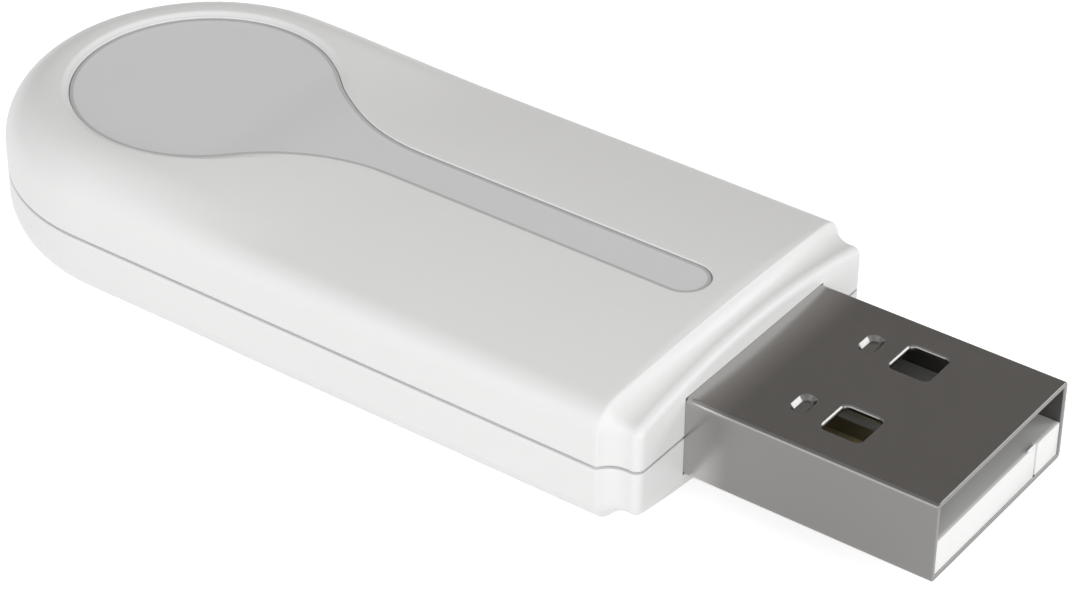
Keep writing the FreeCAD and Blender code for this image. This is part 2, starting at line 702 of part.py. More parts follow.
def leaded_chip(label, length, width, height, pitch, columns, x, y, turned=False):
    """A moulded case with a row of bent leads on each long side."""
    case = centred(label + "_case", length, width, s.lead_sheet, height - s.lead_sheet)
    pieces = [bevelled(label + "_bevel", case, s.case_bevel, height)]
    for i in range(columns):
        column = (i - (columns - 1) / 2) * pitch
        for side in (-1, 1):
            name = "%s_lead_%d%s" % (label, i + 1, "n" if side < 0 else "f")
            arm_y = side * (width / 2 + s.lead_sheet / 2)
            rise_y = side * (width / 2 + 1.5 * s.lead_sheet)
            foot_y = side * (width / 2 + (s.lead_length + s.lead_sheet) / 2)
            pieces.append(centred(name + "_arm", s.lead_width, 3 * s.lead_sheet,
                                  height / 2 - s.lead_sheet, s.lead_sheet, column, arm_y))
            pieces.append(centred(name + "_rise", s.lead_width, s.lead_sheet, 0.0, height / 2,
                                  column, rise_y))
            pieces.append(centred(name + "_foot", s.lead_width, s.lead_length - s.lead_sheet,
                                  0.0, s.lead_sheet, column, foot_y))
    return set_down(fused(label, pieces), label, x, y, turned)


def two_ended(label, length, width, height, x, y, turned=False):
    """A capacitor, resistor, bead or lamp: a case between two metal ends."""
    proud = s.cap_proud
    pieces = [centred(label + "_case", length - s.cap_length, width, proud, height - 2 * proud)]
    for side in (-1, 1):
        pieces.append(centred("%s_end_%s" % (label, "b" if side < 0 else "f"), s.cap_length,
                              width + 2 * proud, 0.0, height, side * (length - s.cap_length) / 2))
    return set_down(fused(label, pieces), label, x, y, turned)


def radio_chip():
    case = centred("radio_case", s.radio_side, s.radio_side, 0.0, s.radio_height)
    mark = doc.addObject("Part::Cylinder", "radio_mark")
    bind(mark, "Radius", s.case_bevel * 2)
    bind(mark, "Height", s.case_bevel)
    bind(mark, "Placement.Base.x", s.case_bevel * 5 - s.radio_side / 2)
    bind(mark, "Placement.Base.y", s.radio_side / 2 - s.case_bevel * 5)
    bind(mark, "Placement.Base.z", s.radio_height - s.case_bevel / 2)
    chip = doc.addObject("Part::Cut", "radio_chip")
    chip.Base, chip.Tool = bevelled("radio_bevel", case, s.case_bevel, s.radio_height), mark
    return set_down(chip, "radio_chip", board_front - s.radio_place, 0.0)


def shield_can():
    """A folded lid over the radio, open below."""
    outer = centred("can_outside", s.can_length, s.can_width, 0.0, s.can_height)
    inner = centred("can_inside", s.can_length - 2 * s.can_sheet, s.can_width - 2 * s.can_sheet,
                    -1.0 * s.can_sheet, s.can_height)
    can = doc.addObject("Part::Cut", "shield_can")
    can.Base, can.Tool = bevelled("can_bevel", outer, s.can_sheet / 2, s.can_height), inner
    return set_down(can, "shield_can", board_front - s.can_place, 0.0)


def crystal():
    base = centred("crystal_base", s.crystal_length, s.crystal_width, 0.0, s.crystal_height / 2)
    inset = 2 * s.case_bevel
    lid = centred("crystal_lid", s.crystal_length - inset, s.crystal_width - inset, s.crystal_height / 4,
                  3 * s.crystal_height / 4)
    return set_down(fused("crystal", [base, lid]), "crystal", board_front - s.crystal_place, 0.0)


def power_coil():
    case = centred("coil_case", s.coil_side, s.coil_side, 0.0, s.coil_height)
    return set_down(bevelled("power_coil", case, 2 * s.case_bevel, s.coil_height), "power_coil",
                    board_front - s.coil_place, s.coil_offset)


def chip_antenna():
    x = round_x - board_half + s.antenna_edge + s.antenna_width / 2
    return two_ended("chip_antenna", s.antenna_length, s.antenna_width, s.antenna_height, x, 0.0, True)


LARGE = (s.large_length, s.large_width, s.large_height)
LITTLE = (s.little_length, s.little_width, s.little_height)
LAMP = (s.lamp_length, s.lamp_width, s.lamp_height)
# Two-ended parts: node, case, place along, place across, turned. The front ones keep to the board's front
# edge, the back ones to the centre of its round end.
TWO_ENDED = [
    ("ferrite_bead", LARGE, board_front - 3.6, 3.6, False),
    ("data_resistor_1", LITTLE, board_front - 6.2, -1.6, False),
    ("data_resistor_2", LITTLE, board_front - 6.2, -2.8, False),
    ("input_capacitor", LARGE, board_front - 7.0, 2.0, False),
    ("status_resistor", LITTLE, board_front - 9.0, 0.0, True),
    ("output_capacitor", LARGE, board_front - 11.0, 1.6, False),
    ("bypass_capacitor_1", LITTLE, board_front - 12.0, -1.2, True),
    ("bypass_capacitor_2", LITTLE, board_front - 15.0, 3.6, False),
    ("bypass_capacitor_3", LITTLE, board_front - 15.0, -3.6, False),
    ("bypass_capacitor_4", LITTLE, board_front - 18.4, 3.6, False),
    ("crystal_capacitor_1", LITTLE, board_front - 22.0, 2.4, False),
    ("crystal_capacitor_2", LITTLE, board_front - 22.0, -2.4, False),
    ("link_resistor", LITTLE, round_x, 2.5, False),
    ("antenna_capacitor", LITTLE, round_x - 1.3, 1.0, False),
    ("antenna_inductor", LITTLE, round_x - 1.3, -1.0, True),
]

upper_housing()
lower_housing()
light_guide()
plug_shell()
plug_tongue()
for node, pitch, start in (("power_contact", -s.outer_pitch, s.outer_start),
                           ("data_minus_contact", -s.inner_pitch, s.inner_start),
                           ("data_plus_contact", 1.0 * s.inner_pitch, s.inner_start),
                           ("ground_contact", 1.0 * s.outer_pitch, s.outer_start)):
    contact(node, pitch / 2, start)
circuit_board()
radio_chip()
shield_can()
crystal()
leaded_chip("flash_chip", s.flash_length, s.flash_width, s.flash_height, s.lead_pitch, 4,
            board_front - s.flash_place, -s.flash_side)
leaded_chip("surge_guard", s.small_length, s.small_width, s.small_height, s.small_pitch, 3,
            board_front - s.guard_place, 0.0)
leaded_chip("voltage_regulator", s.small_length, s.small_width, s.small_height, s.small_pitch, 3,
            board_front - s.regulator_place, s.regulator_side)
power_coil()
chip_antenna()
two_ended("status_lamp", *LAMP, status_x, 0.0, turned=True)
two_ended("link_lamp", *LAMP, link_x, 0.0, turned=True)
for node, case, x, y, turned in TWO_ENDED:
    two_ended(node, *case, x, y, turned)
doc.recompute()

# Checks and export
for thing in doc.Objects:
    if "Invalid" in thing.State or "Error" in thing.State:
        raise RuntimeError("%s failed: %s" % (thing.Name, thing.State))
for label, thing in SUBPARTS:
    shape = thing.Shape
    if shape.isNull() or not shape.isValid():
        raise RuntimeError("%s has no valid shape" % label)
    if len(shape.Solids) != 1:
        raise RuntimeError("%s has %d solids" % (label, len(shape.Solids)))
for label, thing in SUBPARTS:
    thing.Shape.exportStep("parts/%s.step" % label)
    box = thing.Shape.BoundBox
    print("%-22s volume %8.2f  x %7.2f %7.2f  y %6.2f %6.2f  z %5.2f %5.2f"
          % (label, thing.Shape.Volume, box.XMin, box.XMax, box.YMin, box.YMax, box.ZMin, box.ZMax))
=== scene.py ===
"""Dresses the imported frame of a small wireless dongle: finer outer pieces, finishes, studio and camera."""

import json
import math

import bmesh
import bpy
from bpy.props import FloatProperty, FloatVectorProperty, PointerProperty
from bpy.types import Operator, Panel, PropertyGroup
from mathutils import Matrix, Vector


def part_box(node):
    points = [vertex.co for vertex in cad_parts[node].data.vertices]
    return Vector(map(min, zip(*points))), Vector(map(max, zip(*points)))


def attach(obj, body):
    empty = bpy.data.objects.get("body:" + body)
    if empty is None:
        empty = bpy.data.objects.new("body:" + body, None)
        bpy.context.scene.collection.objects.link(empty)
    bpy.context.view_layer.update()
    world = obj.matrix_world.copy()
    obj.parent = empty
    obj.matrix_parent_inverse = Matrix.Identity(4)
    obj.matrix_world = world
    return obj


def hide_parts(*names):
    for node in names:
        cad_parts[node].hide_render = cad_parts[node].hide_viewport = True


bl_info = {
    "name": "Wireless Dongle",
    "version": (1, 0, 0),
    "blender": (4, 5, 0),
    "location": "3D View > Sidebar > Dongle",
    "description": "Builds the outer pieces, finishes and studio of a small wireless dongle",
    "category": "Add Mesh",
}

MM = 0.001
# places closer than this, in metres, count as one
SAME = 1e-7
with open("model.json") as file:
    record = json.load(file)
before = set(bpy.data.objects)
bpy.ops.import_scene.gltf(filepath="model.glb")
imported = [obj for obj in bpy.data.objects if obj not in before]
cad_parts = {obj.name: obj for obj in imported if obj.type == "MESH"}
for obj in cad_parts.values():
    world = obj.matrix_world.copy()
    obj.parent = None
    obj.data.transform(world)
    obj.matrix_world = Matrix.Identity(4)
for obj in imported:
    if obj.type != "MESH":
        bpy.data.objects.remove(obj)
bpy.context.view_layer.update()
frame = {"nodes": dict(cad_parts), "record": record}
TIP_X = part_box("plug_shell")[1][0]
BACK_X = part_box("upper_housing")[0][0]
FACE_X, HALF_WIDTH, TOP_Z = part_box("upper_housing")[1]
SEAM_Z = TOP_Z / 2
ROUND_X = BACK_X + HALF_WIDTH


def length(name, description, millimetres):
    return FloatProperty(name=name, description=description, default=millimetres * MM, unit="LENGTH")


def watts(name, description, power):
    return FloatProperty(name=name, description=description, default=power, min=0, unit="POWER")


def tint(name, description, *colour):
    return FloatVectorProperty(name=name, description=description, subtype="COLOR", size=3, min=0, max=1,
                               default=colour)


# Finishes
def feed(tree, node, inputs):
    """Sets or links inputs of a node; each is (name or index, value or source socket)."""
    for key, source in inputs:
        if isinstance(source, bpy.types.NodeSocket):
            tree.links.new(source, node.inputs[key])
        else:
            node.inputs[key].default_value = source


def add_node(tree, kind, inputs=(), **settings):
    node = tree.nodes.new(kind)
    for key, value in settings.items():
        setattr(node, key, value)
    feed(tree, node, inputs)
    return node


def reckon(tree, operation, a, b, clamp=False):
    """The outcome of a sum, difference, product or quotient of two values or sockets."""
    return add_node(tree, "ShaderNodeMath", [(0, a), (1, b)], operation=operation, use_clamp=clamp).outputs[0]


def noise(tree, where, scale, detail, rough):
    return add_node(tree, "ShaderNodeTexNoise", [("Vector", where), ("Scale", scale), ("Detail", detail),
                                                 ("Roughness", rough)]).outputs["Fac"]


def swing(tree, middle, source, reach):
    """A value that swings about its middle as a source swings about zero."""
    return reckon(tree, "ADD", reckon(tree, "MULTIPLY", source, reach), middle)


def start_effect(name, given):
    """A shader group with a colour and numbers as inputs: the group, its inputs and object coordinates."""
    group = bpy.data.node_groups.new(name, "ShaderNodeTree")
    for label, default in given.items():
        kind = "NodeSocketFloat" if isinstance(default, float) else "NodeSocketColor"
        socket = group.interface.new_socket(label, in_out="INPUT", socket_type=kind)
        socket.default_value = default
    where = add_node(group, "ShaderNodeTexCoord").outputs["Object"]
    return group, group.nodes.new("NodeGroupInput").outputs, where


def end_effect(group, given, tone, reach, gloss, height):
    """Puts out the colour, swung by tone, the roughness, swung by gloss, and a bump's height."""
    for label, kind in (("Colour", "Color"), ("Roughness", "Float"), ("Height", "Float")):
        group.interface.new_socket(label, in_out="OUTPUT", socket_type="NodeSocket" + kind)
    shade = add_node(group, "ShaderNodeHueSaturation",
                     [("Color", given["Colour"]), ("Value", swing(group, 1.0, tone, reach))])
    rough = swing(group, given["Roughness"], gloss, given["Spread"])
    add_node(group, "NodeGroupOutput",
             [("Colour", shade.outputs["Color"]), ("Roughness", rough), ("Height", height)])


def moulded_grain():
    """Fine spark-eroded grain of a mould, with a slow unevenness of tone."""
    group, given, where = start_effect("moulded grain", {
        "Colour": (0.8, 0.8, 0.8, 1), "Grain Size": 0.12 * MM, "Unevenness": 0.02, "Roughness": 0.45,
        "Spread": 0.08})
    grain = noise(group, where, reckon(group, "DIVIDE", 1.0, given["Grain Size"]), 2.0, 0.6)
    slow = reckon(group, "SUBTRACT", noise(group, where, 140.0, 3.0, 0.55), 0.5)
    both = reckon(group, "ADD", slow, reckon(group, "SUBTRACT", grain, 0.5))
    end_effect(group, given, both, given["Unevenness"], slow, grain)


def drawn_sheet():
    """Fine drawing lines along the length of sheet metal, with cloudy plating."""
    group, given, where = start_effect("drawn sheet", {
        "Colour": (0.3, 0.3, 0.3, 1), "Line Width": 0.06 * MM, "Contrast": 0.2, "Roughness": 0.28,
        "Spread": 0.12})
    along = add_node(group, "ShaderNodeMapping", [("Vector", where), ("Scale", (0.02, 1.0, 1.0))]).outputs[0]
    lines = noise(group, along, reckon(group, "DIVIDE", 1.0, given["Line Width"]), 2.0, 0.7)
    cloud = noise(group, where, 260.0, 4.0, 0.6)
    both = reckon(group, "SUBTRACT", reckon(group, "ADD", lines, cloud), 1.0)
    end_effect(group, given, both, given["Contrast"], both, lines)


def plain_finish(name, settings):
    """A material with settings on its shader, and that shader."""
    material = bpy.data.materials.new(name)
    material.use_nodes = True
    shader = material.node_tree.nodes["Principled BSDF"]
    feed(material.node_tree, shader, settings.items())
    return material, shader


def effect_finish(name, effect, values, depth, metallic):
    """A material whose colour, roughness and bump come from an effect with values of its own."""
    material, shader = plain_finish(name, {"Metallic": metallic})
    tree = material.node_tree
    group = add_node(tree, "ShaderNodeGroup", values.items(), node_tree=bpy.data.node_groups[effect]).outputs
    bump = add_node(tree, "ShaderNodeBump", [("Strength", 1.0), ("Distance", depth),
                                             ("Height", group["Height"])])
    feed(tree, shader, [("Base Color", group["Colour"]), ("Roughness", group["Roughness"]),
                        ("Normal", bump.outputs["Normal"])])
    return material


def moulded(name, colour, rough, unevenness=0.02, depth=0.002 * MM):
    values = {"Colour": (*colour, 1), "Unevenness": unevenness, "Roughness": rough}
    return effect_finish(name, "moulded grain", values, depth, 0.0)


def sheet_metal(name, colour, rough, contrast=0.2, depth=0.0008 * MM):
    values = {"Colour": (*colour, 1), "Contrast": contrast, "Roughness": rough}
    return effect_finish(name, "drawn sheet", values, depth, 1.0)


def paint_light_and_shade_along(material, first_x, last_x, first, last):
    """Paints light and shade into a finish's colour, changing along the plug between two places."""
    tree = material.node_tree
    where = add_node(tree, "ShaderNodeTexCoord").outputs["Object"]
    place = add_node(tree, "ShaderNodeSeparateXYZ", [(0, where)])
    share = add_node(tree, "ShaderNodeMapRange", [("Value", place.outputs["X"]), ("From Min", first_x),
                                                  ("From Max", last_x)], interpolation_type="SMOOTHSTEP")
    # a Mix node's colours are its inputs 6 and 7 and its output 2
    mix = add_node(tree, "ShaderNodeMix", [("Factor", share.outputs["Result"]), (6, (*first, 1)),
                                           (7, (*last, 1))], data_type="RGBA")
    group = next(node for node in tree.nodes if node.type == "GROUP")
    feed(tree, group, [("Colour", mix.outputs[2])])
    return material


class DongleFinishes(PropertyGroup):
    """Colours of the finishes."""
    white: tint("White plastic", "Colour of the moulded housing", 0.785, 0.785, 0.782)
    guide: tint("Light guide", "Colour of the inlaid light guide", 0.685, 0.685, 0.69)
    # painted shade: a grey for the opening's walls and the ring around the guide, standing in for the shadow
    # of the gap
    shaded: tint("Opening's wall", "Colour of the shaded walls around the guide", 0.52, 0.52, 0.52)
    plating: tint("Plug plating", "Colour of the plug's plating", 0.225, 0.219, 0.215)
    # painted reflection: the plating is painted lighter by the collar, where it mirrors the white collar
    plating_painted_reflection: tint("Plating by the collar", "Lighter plating by the collar", 0.44, 0.43, 0.422)
    tongue: tint("Tongue", "Colour of the plug's tongue", 0.82, 0.82, 0.815)
    # painted shade: the tongue is painted darker behind its face, for the shade inside the plug
    tongue_painted_shade: tint("Tongue inside", "Colour of the tongue behind its face", 0.55, 0.55, 0.54)
    contact: tint("Contacts", "Colour of the gilded contact strips", 0.72, 0.63, 0.38)


# grey material that paints the shade of the gap around the guide on the opening's walls and on the guide's
# edge
PAINTED_SHADE_WALL = "opening's painted shade"
# (start, end) of the painted reflection of the collar on the plating in front of the collar, and of the
# painted shade on the tongue behind its face
COLLAR_REFLECTION_SPAN = (FACE_X + 0.2 * MM, FACE_X + 2.6 * MM)
TONGUE_SHADE_SPAN = (TIP_X - 0.3 * MM, TIP_X - 0.1 * MM)


class DONGLE_OT_finishes(Operator):
    """Give every node its finish"""
    bl_idname = "dongle.finishes"
    bl_label = "Finishes"

    def execute(self, context):
        colours = context.scene.dongle_finishes
        moulded_grain()
        drawn_sheet()
        # the painted shade of the gap around the guide
        moulded(PAINTED_SHADE_WALL, colours.shaded, 0.6)
        plating = sheet_metal("dark plated sheet", colours.plating, 0.23, contrast=0.05, depth=0.0003 * MM)
        tongue = moulded("white tongue plastic", colours.tongue, 0.4)
        made = {
            "white_plastic": moulded("satin white plastic", colours.white, 0.37),
            "guide_plastic": moulded("grey light guide", colours.guide, 0.34, depth=0.001 * MM),
            # the plating is painted lighter by the collar, a painted reflection of it
            "plug_metal": paint_light_and_shade_along(plating, *COLLAR_REFLECTION_SPAN, colours.plating_painted_reflection, colours.plating),
            # the tongue is painted darker behind its face, painted shade
            "tongue_plastic": paint_light_and_shade_along(tongue, *TONGUE_SHADE_SPAN, colours.tongue_painted_shade, colours.tongue),
            "contact_metal": sheet_metal("gilded contact", colours.contact, 0.5),
            "board_laminate": moulded("green laminate", (0.02, 0.14, 0.06), 0.35, 0.2),
            "chip_plastic": moulded("black chip plastic", (0.035, 0.035, 0.037), 0.55, 0.3),
            "can_metal": sheet_metal("tinned sheet", (0.66, 0.65, 0.62), 0.35),
            "ceramic": moulded("fired ceramic", (0.42, 0.31, 0.2), 0.5, 0.15),
            "antenna_ceramic": moulded("white ceramic", (0.74, 0.73, 0.7), 0.4, 0.08),
            "resistor_film": moulded("resistor glaze", (0.03, 0.03, 0.035), 0.25, 0.2),
            "coil_ferrite": moulded("dark ferrite", (0.09, 0.09, 0.095), 0.6, 0.3),
            "lamp_case": moulded("clear lamp resin", (0.78, 0.76, 0.62), 0.2, 0.05),
        }
        for part in frame["record"]["subparts"]:
            node = frame["nodes"][part["node"]]
            node.data.materials.clear()
            node.data.materials.append(made[part["material_slot"]])
        return {"FINISHED"}


# Studio
class DongleStudio(PropertyGroup):
    """Strengths of the studio's light."""
    dome: FloatProperty(name="Dome", description="Strength of the even light from all around",
                        default=0.58, min=0)
    window: watts("Side light", "Power of the soft light on the near side", 3.9)
    front: watts("Front light", "Power of the soft light before the plug", 1.9)
    rim: watts("Rim light", "Power of the small light behind the plug", 2.2)
    card: tint("Card", "Colour of the card over the far side", 0.43, 0.412, 0.398)


# the camera's place, its axes and its lens
CAMERA_PLACE = Vector((0.08584, -0.11531, 0.10093))
CAMERA_RIGHT, CAMERA_UP = Vector((0.80844, 0.58852, 0.00885)), Vector((-0.3385, 0.45259, 0.82498))
CAMERA_BACK = Vector((0.4815, -0.66994, 0.5651))
CAMERA_LENS, CAMERA_SENSOR = 114.8, 36.0
LAMPS_AIM = Vector((0, 0, 4 * MM))
# half the side of the floor and of the card, and how far away the card hangs
FLOOR_SIZE, CARD_SIZE, CARD_AWAY = 1.5, 0.5, 0.7
# emission that lifts the floor to white where it is seen, straight or mirrored
FLOOR_LIFT = 0.6


def finished(form, name):
    """Makes an object of a finished mesh form."""
    mesh = bpy.data.meshes.new(name)
    form.to_mesh(mesh)
    form.free()
    piece = bpy.data.objects.new(name, mesh)
    bpy.context.collection.objects.link(piece)
    return piece


def turned_at(place, way):
    """A matrix that turns z to a way and moves to a place."""
    return Matrix.Translation(place) @ way.to_track_quat("Z", "Y").to_matrix().to_4x4()


def stage_sheet(name, size, matrix, material):
    """A flat square sheet of the studio."""
    form = bmesh.new()
    bmesh.ops.create_grid(form, x_segments=8, y_segments=8, size=size, matrix=matrix)
    sheet = finished(form, name)
    sheet.data.materials.append(material)
    return sheet


def floor_finish():
    """White paper that the camera and reflections see lit through, so that it reads white but for shadow."""
    paper, shader = plain_finish("studio paper", {"Base Color": (0.86, 0.86, 0.86, 1), "Roughness": 0.9,
                                                  "Emission Color": (1, 1, 1, 1)})
    tree = paper.node_tree
    rays = add_node(tree, "ShaderNodeLightPath").outputs
    seen = reckon(tree, "ADD", rays["Is Camera Ray"], rays["Is Glossy Ray"], clamp=True)
    seen = reckon(tree, "ADD", seen, rays["Is Transmission Ray"], clamp=True)
    feed(tree, shader, [("Emission Strength", reckon(tree, "MULTIPLY", seen, FLOOR_LIFT))])
    return paper


def light_dome(scene, strength):
    world = bpy.data.worlds.new("studio")
    world.use_nodes = True
    scene.world = world
    sky = world.node_tree.nodes["Background"]
    feed(world.node_tree, sky, [("Color", (1, 1, 1, 1)), ("Strength", strength)])


def soft_lamp(name, place, size, power):
    lamp = bpy.data.lights.new(name, "AREA")
    lamp.shape = "RECTANGLE"
    lamp.size, lamp.size_y = size
    lamp.energy = power
    holder = bpy.data.objects.new(name, lamp)
    bpy.context.collection.objects.link(holder)
    holder.matrix_world = turned_at(Vector(place), Vector(place) - LAMPS_AIM)


class DONGLE_OT_stage(Operator):
    """Build the floor, the lights and the camera"""
    bl_idname = "dongle.stage"
    bl_label = "Studio"

    def execute(self, context):
        studio = context.scene.dongle_studio
        stage_sheet("studio_floor", FLOOR_SIZE, Matrix.Identity(4), floor_finish())
        # the card hangs where the level tops mirror it to the camera
        aim = Vector((-CAMERA_BACK.x, -CAMERA_BACK.y, CAMERA_BACK.z)).normalized()
        paint, _ = plain_finish("shade card paint", {"Base Color": (*studio.card, 1), "Roughness": 0.95})
        card = stage_sheet("shade_card", CARD_SIZE, turned_at(aim * CARD_AWAY, aim), paint)
        card.visible_camera = False
        light_dome(context.scene, studio.dome)
        soft_lamp("near window", (0.1, -0.8, 0.28), (1.4, 0.56), studio.window)
        soft_lamp("front window", (0.8, -0.2, 0.25), (0.7, 0.45), studio.front)
        soft_lamp("rim window", (0.63, 0.67, 0.36), (0.42, 0.42), studio.rim)
        camera = bpy.data.objects.new("camera", bpy.data.cameras.new("camera"))
        context.collection.objects.link(camera)
        camera.data.sensor_width = CAMERA_SENSOR
        camera.data.lens = CAMERA_LENS
        camera.data.clip_start = 5 * MM
        turn = Matrix((CAMERA_RIGHT, CAMERA_UP, CAMERA_BACK)).transposed().to_4x4()
        camera.matrix_world = Matrix.Translation(CAMERA_PLACE) @ turn
        context.scene.camera = camera
        context.scene.view_settings.view_transform = "Standard"
        return {"FINISHED"}


# Shapes
class Chain:
    """A level chain of edges, drawn by moving and turning its last vertex."""

    def __init__(self, form, x, y, z=0.0):
        self.form = form
        self.verts = [form.verts.new((x, y, z))]

    def line(self, x, y, steps=1):
        start = self.verts[-1].co.copy()
        for i in range(1, steps + 1):
            made = bmesh.ops.extrude_vert_indiv(self.form, verts=[self.verts[-1]])["verts"][0]
            made.co = start.lerp(Vector((x, y, start.z)), i / steps)
            self.verts.append(made)
        return self

    def arc(self, x, y, degrees, steps):
        """Turns about an upright axis through x and y."""
        for _ in range(steps):
            made = bmesh.ops.spin(self.form, geom=[self.verts[-1]], cent=(x, y, 0), axis=(0, 0, 1),
                                  dvec=(0, 0, 0), angle=math.radians(degrees) / steps, steps=1)["geom_last"]
            self.verts.append(next(g for g in made if isinstance(g, bmesh.types.BMVert)))
        return self

    def loop_places(self):
        """Places of a chain that ends where it starts; the form it was drawn in is freed."""
        places = [v.co.copy() for v in self.verts[:-1]]
        self.form.free()
        return places


def edges_along(form, verts):
    return [form.edges.get(pair) for pair in zip(verts, verts[1:])]


def ring(form, verts):
    """Edges of a closed loop of vertices."""
    return edges_along(form, verts + verts[:1])


def join(form, a, b):
    """Makes an edge between two vertices."""
    return bmesh.ops.contextual_create(form, geom=[a, b])["edges"][0]


def drawn(form, places, closed=False):
    """Vertices at places, joined by edges into a chain or a closed loop."""
    verts = [form.verts.new(place) for place in places]
    for a, b in zip(verts, verts[1:] + verts[:1] if closed else verts[1:]):
        join(form, a, b)
    return verts


def fill(form, edges):
    """Fills a flat region between its outer loop and its inner ones."""
    bmesh.ops.triangle_fill(form, use_beauty=True, use_dissolve=False, edges=edges)


def open_edges(form, axis, value):
    """Open edges that lie in one plane across an axis."""
    return [e for e in form.edges if len(e.link_faces) < 2
            and all(abs(getattr(v.co, axis) - value) < SAME for v in e.verts)]


def grown_strip(form, verts, closed, places):
    """Extrudes a chain of vertices into a strip whose other side lies at places; that side's vertices."""
    edges = ring(form, verts) if closed else edges_along(form, verts)
    made = bmesh.ops.extrude_edge_only(form, edges=edges)["geom"]
    fresh = {g for g in made if isinstance(g, bmesh.types.BMVert)}
    found = [next(e.other_vert(v) for e in v.link_edges if e.other_vert(v) in fresh) for v in verts]
    for v, place in zip(found, places):
        v.co = place
    return found


def led_strip(form, verts, closed, axis, value):
    """Grows a strip straight along an axis to a value; its other side's vertices."""
    places = [v.co.copy() for v in verts]
    for place in places:
        setattr(place, axis, value)
    return grown_strip(form, verts, closed, places)


def quarter(radius, steps):
    """(along, down) in steps around a quarter round, from the flat to the wall."""
    turns = [math.pi / 2 * i / steps for i in range(1, steps + 1)]
    return [(radius * math.sin(t), radius * (1 - math.cos(t))) for t in turns]


def eased(share):
    """A share held between 0 and 1, with a smooth start and end."""
    share = min(max(share, 0.0), 1.0)
    return share * share * (3 - 2 * share)


def add_box(form, low, high):
    """A closed box between two corners."""
    size = Vector(high) - Vector(low)
    middle = (Vector(high) + Vector(low)) / 2
    bmesh.ops.create_cube(form, size=1.0, matrix=Matrix.Translation(middle) @ Matrix.Diagonal((*size, 1.0)))


def settle(form, name, stands_for, sharp=38.0):
    """Merges, turns outwards and shades a finished form, and puts it on the frame in a node's place."""
    bmesh.ops.remove_doubles(form, verts=form.verts, dist=2 * SAME)
    bmesh.ops.recalc_face_normals(form, faces=form.faces)
    for face in form.faces:
        face.smooth = True
    piece = finished(form, name)
    piece.data.set_sharp_from_angle(angle=math.radians(sharp))
    piece.data.materials.append(frame["nodes"][stands_for].data.materials[0])
    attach(piece, "root")
    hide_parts(stands_for)
    return piece


# Housing
class DongleHousing(PropertyGroup):
    """Sizes of the housing's outer form."""
    back_edge: length("Back edge", "Soft round of the back end", 2.8)
    side_edge: length("Side edge", "Tight round along the long edges", 1.4)
    crown: length("Crown", "How far the top falls from its middle to its long edges", 0.95)
    low_crown: length("Bottom crown", "Rise of the bottom to its long edges", 0.74)
    step_slope: FloatProperty(name="Shoulder slope", description="Steepest slope, where the shoulder begins",
                              default=math.radians(57), unit="ROTATION")
    step_turn: length("Shoulder turn", "Length over which the shoulder bends down", 0.2)
    step_bow: length("Shoulder's bow", "Shoulder's start further forward in the middle", 0.62)
    cove: length("Cove", "Radius of the hollow from the shoulder to the collar", 1.42)
    groove_place: length("Groove", "Groove behind the front face, which has no bow", 0.55)
    nose: length("Front round", "Round on the collar's front edge", 0.45)
    face_land: length("Front land", "Flat strip around the front face", 0.06)
    seam_gap: length("Seam", "Shadow line between the shells", 0.16)
    seam_round: length("Seam's edges", "Small round on the shells' rims", 0.06)
    side_wall: length("Side wall", "Thickness of the side wall", 1.4)
    roof_wall: length("Roof", "Thickness of the top and bottom", 1.4)
    front_wall: length("Front wall", "Thickness behind the front face", 2.6)
    guide_radius: length("Guide's disc", "Radius of the guide's opening", 7.35)
    guide_stem: length("Guide's stem", "Width of the opening's stem", 2.7)
    guide_flare: length("Guide's flare", "Radius from the disc into the stem", 10.2)
    guide_end: length("Stem's end", "End of the stem behind the front face", 2.85)
    guide_edge: length("Opening's edge", "Small round around the guide's opening", 0.06)
    rim_roll: length("Rolled rim", "Width of the slope around the guide's disc", 0.36)
    rim_shift: length("Rim's shift", "How far the disc is drawn in for its rolled rim", 0.3)
    rim_drop: length("Rim's drop", "Depth of the slope around the guide's disc", 0.18)


# half the plug's width and height, and the play that the shells leave around it
PLUG_HALF, PLUG_RISE, PLUG_FIT = 6.0 * MM, 2.25 * MM, 0.012 * MM
# how much the shoulder's hollow rises again before the front round
HOLLOW_RISE = math.radians(-6)
# flat strip inside the soft edge, and the strip left free in front of the opening's rolled rim
TOP_LAND, RIM_LAND = 0.15 * MM, 0.04 * MM
# where the soft back begins to turn into the crown, and over what length
CROWN_START, CROWN_LENGTH = ROUND_X + 1.0 * MM, 12.0 * MM
# where the disc ends towards the stem, and over what length its rim and its recess run out
DISC_END, DISC_LENGTH = ROUND_X + 8.0 * MM, 4.0 * MM
# front end of the middle line that the bottom's rings grow towards, and how far they go
MIDDLE_END, MIDDLE_SHARE = FACE_X - 6.0 * MM, 0.97
# steps of the outline: disc to flare, flare, stem, stem's end, half the front line, half the round end
DISC_STEPS, FLARE_STEPS, STEM_STEPS, END_STEPS, FRONT_STEPS, BACK_STEPS = 10, 10, 14, 5, 9, 36
# steps of a shell: seam's round, soft edge, rings to the opening and the middle, rolled rim, room's round
SEAM_STEPS, SOFT_STEPS, TOP_RINGS, BOTTOM_RINGS, ROLL_STEPS, ROOM_STEPS = 3, 22, 9, 8, 6, 48
# steps of a small edge, of the shoulder's turn, cove and front round, and rows up the side wall
EDGE_STEPS, TURN_STEPS, COVE_STEPS, NOSE_STEPS, WALL_ROWS = 4, 4, 12, 9, 2


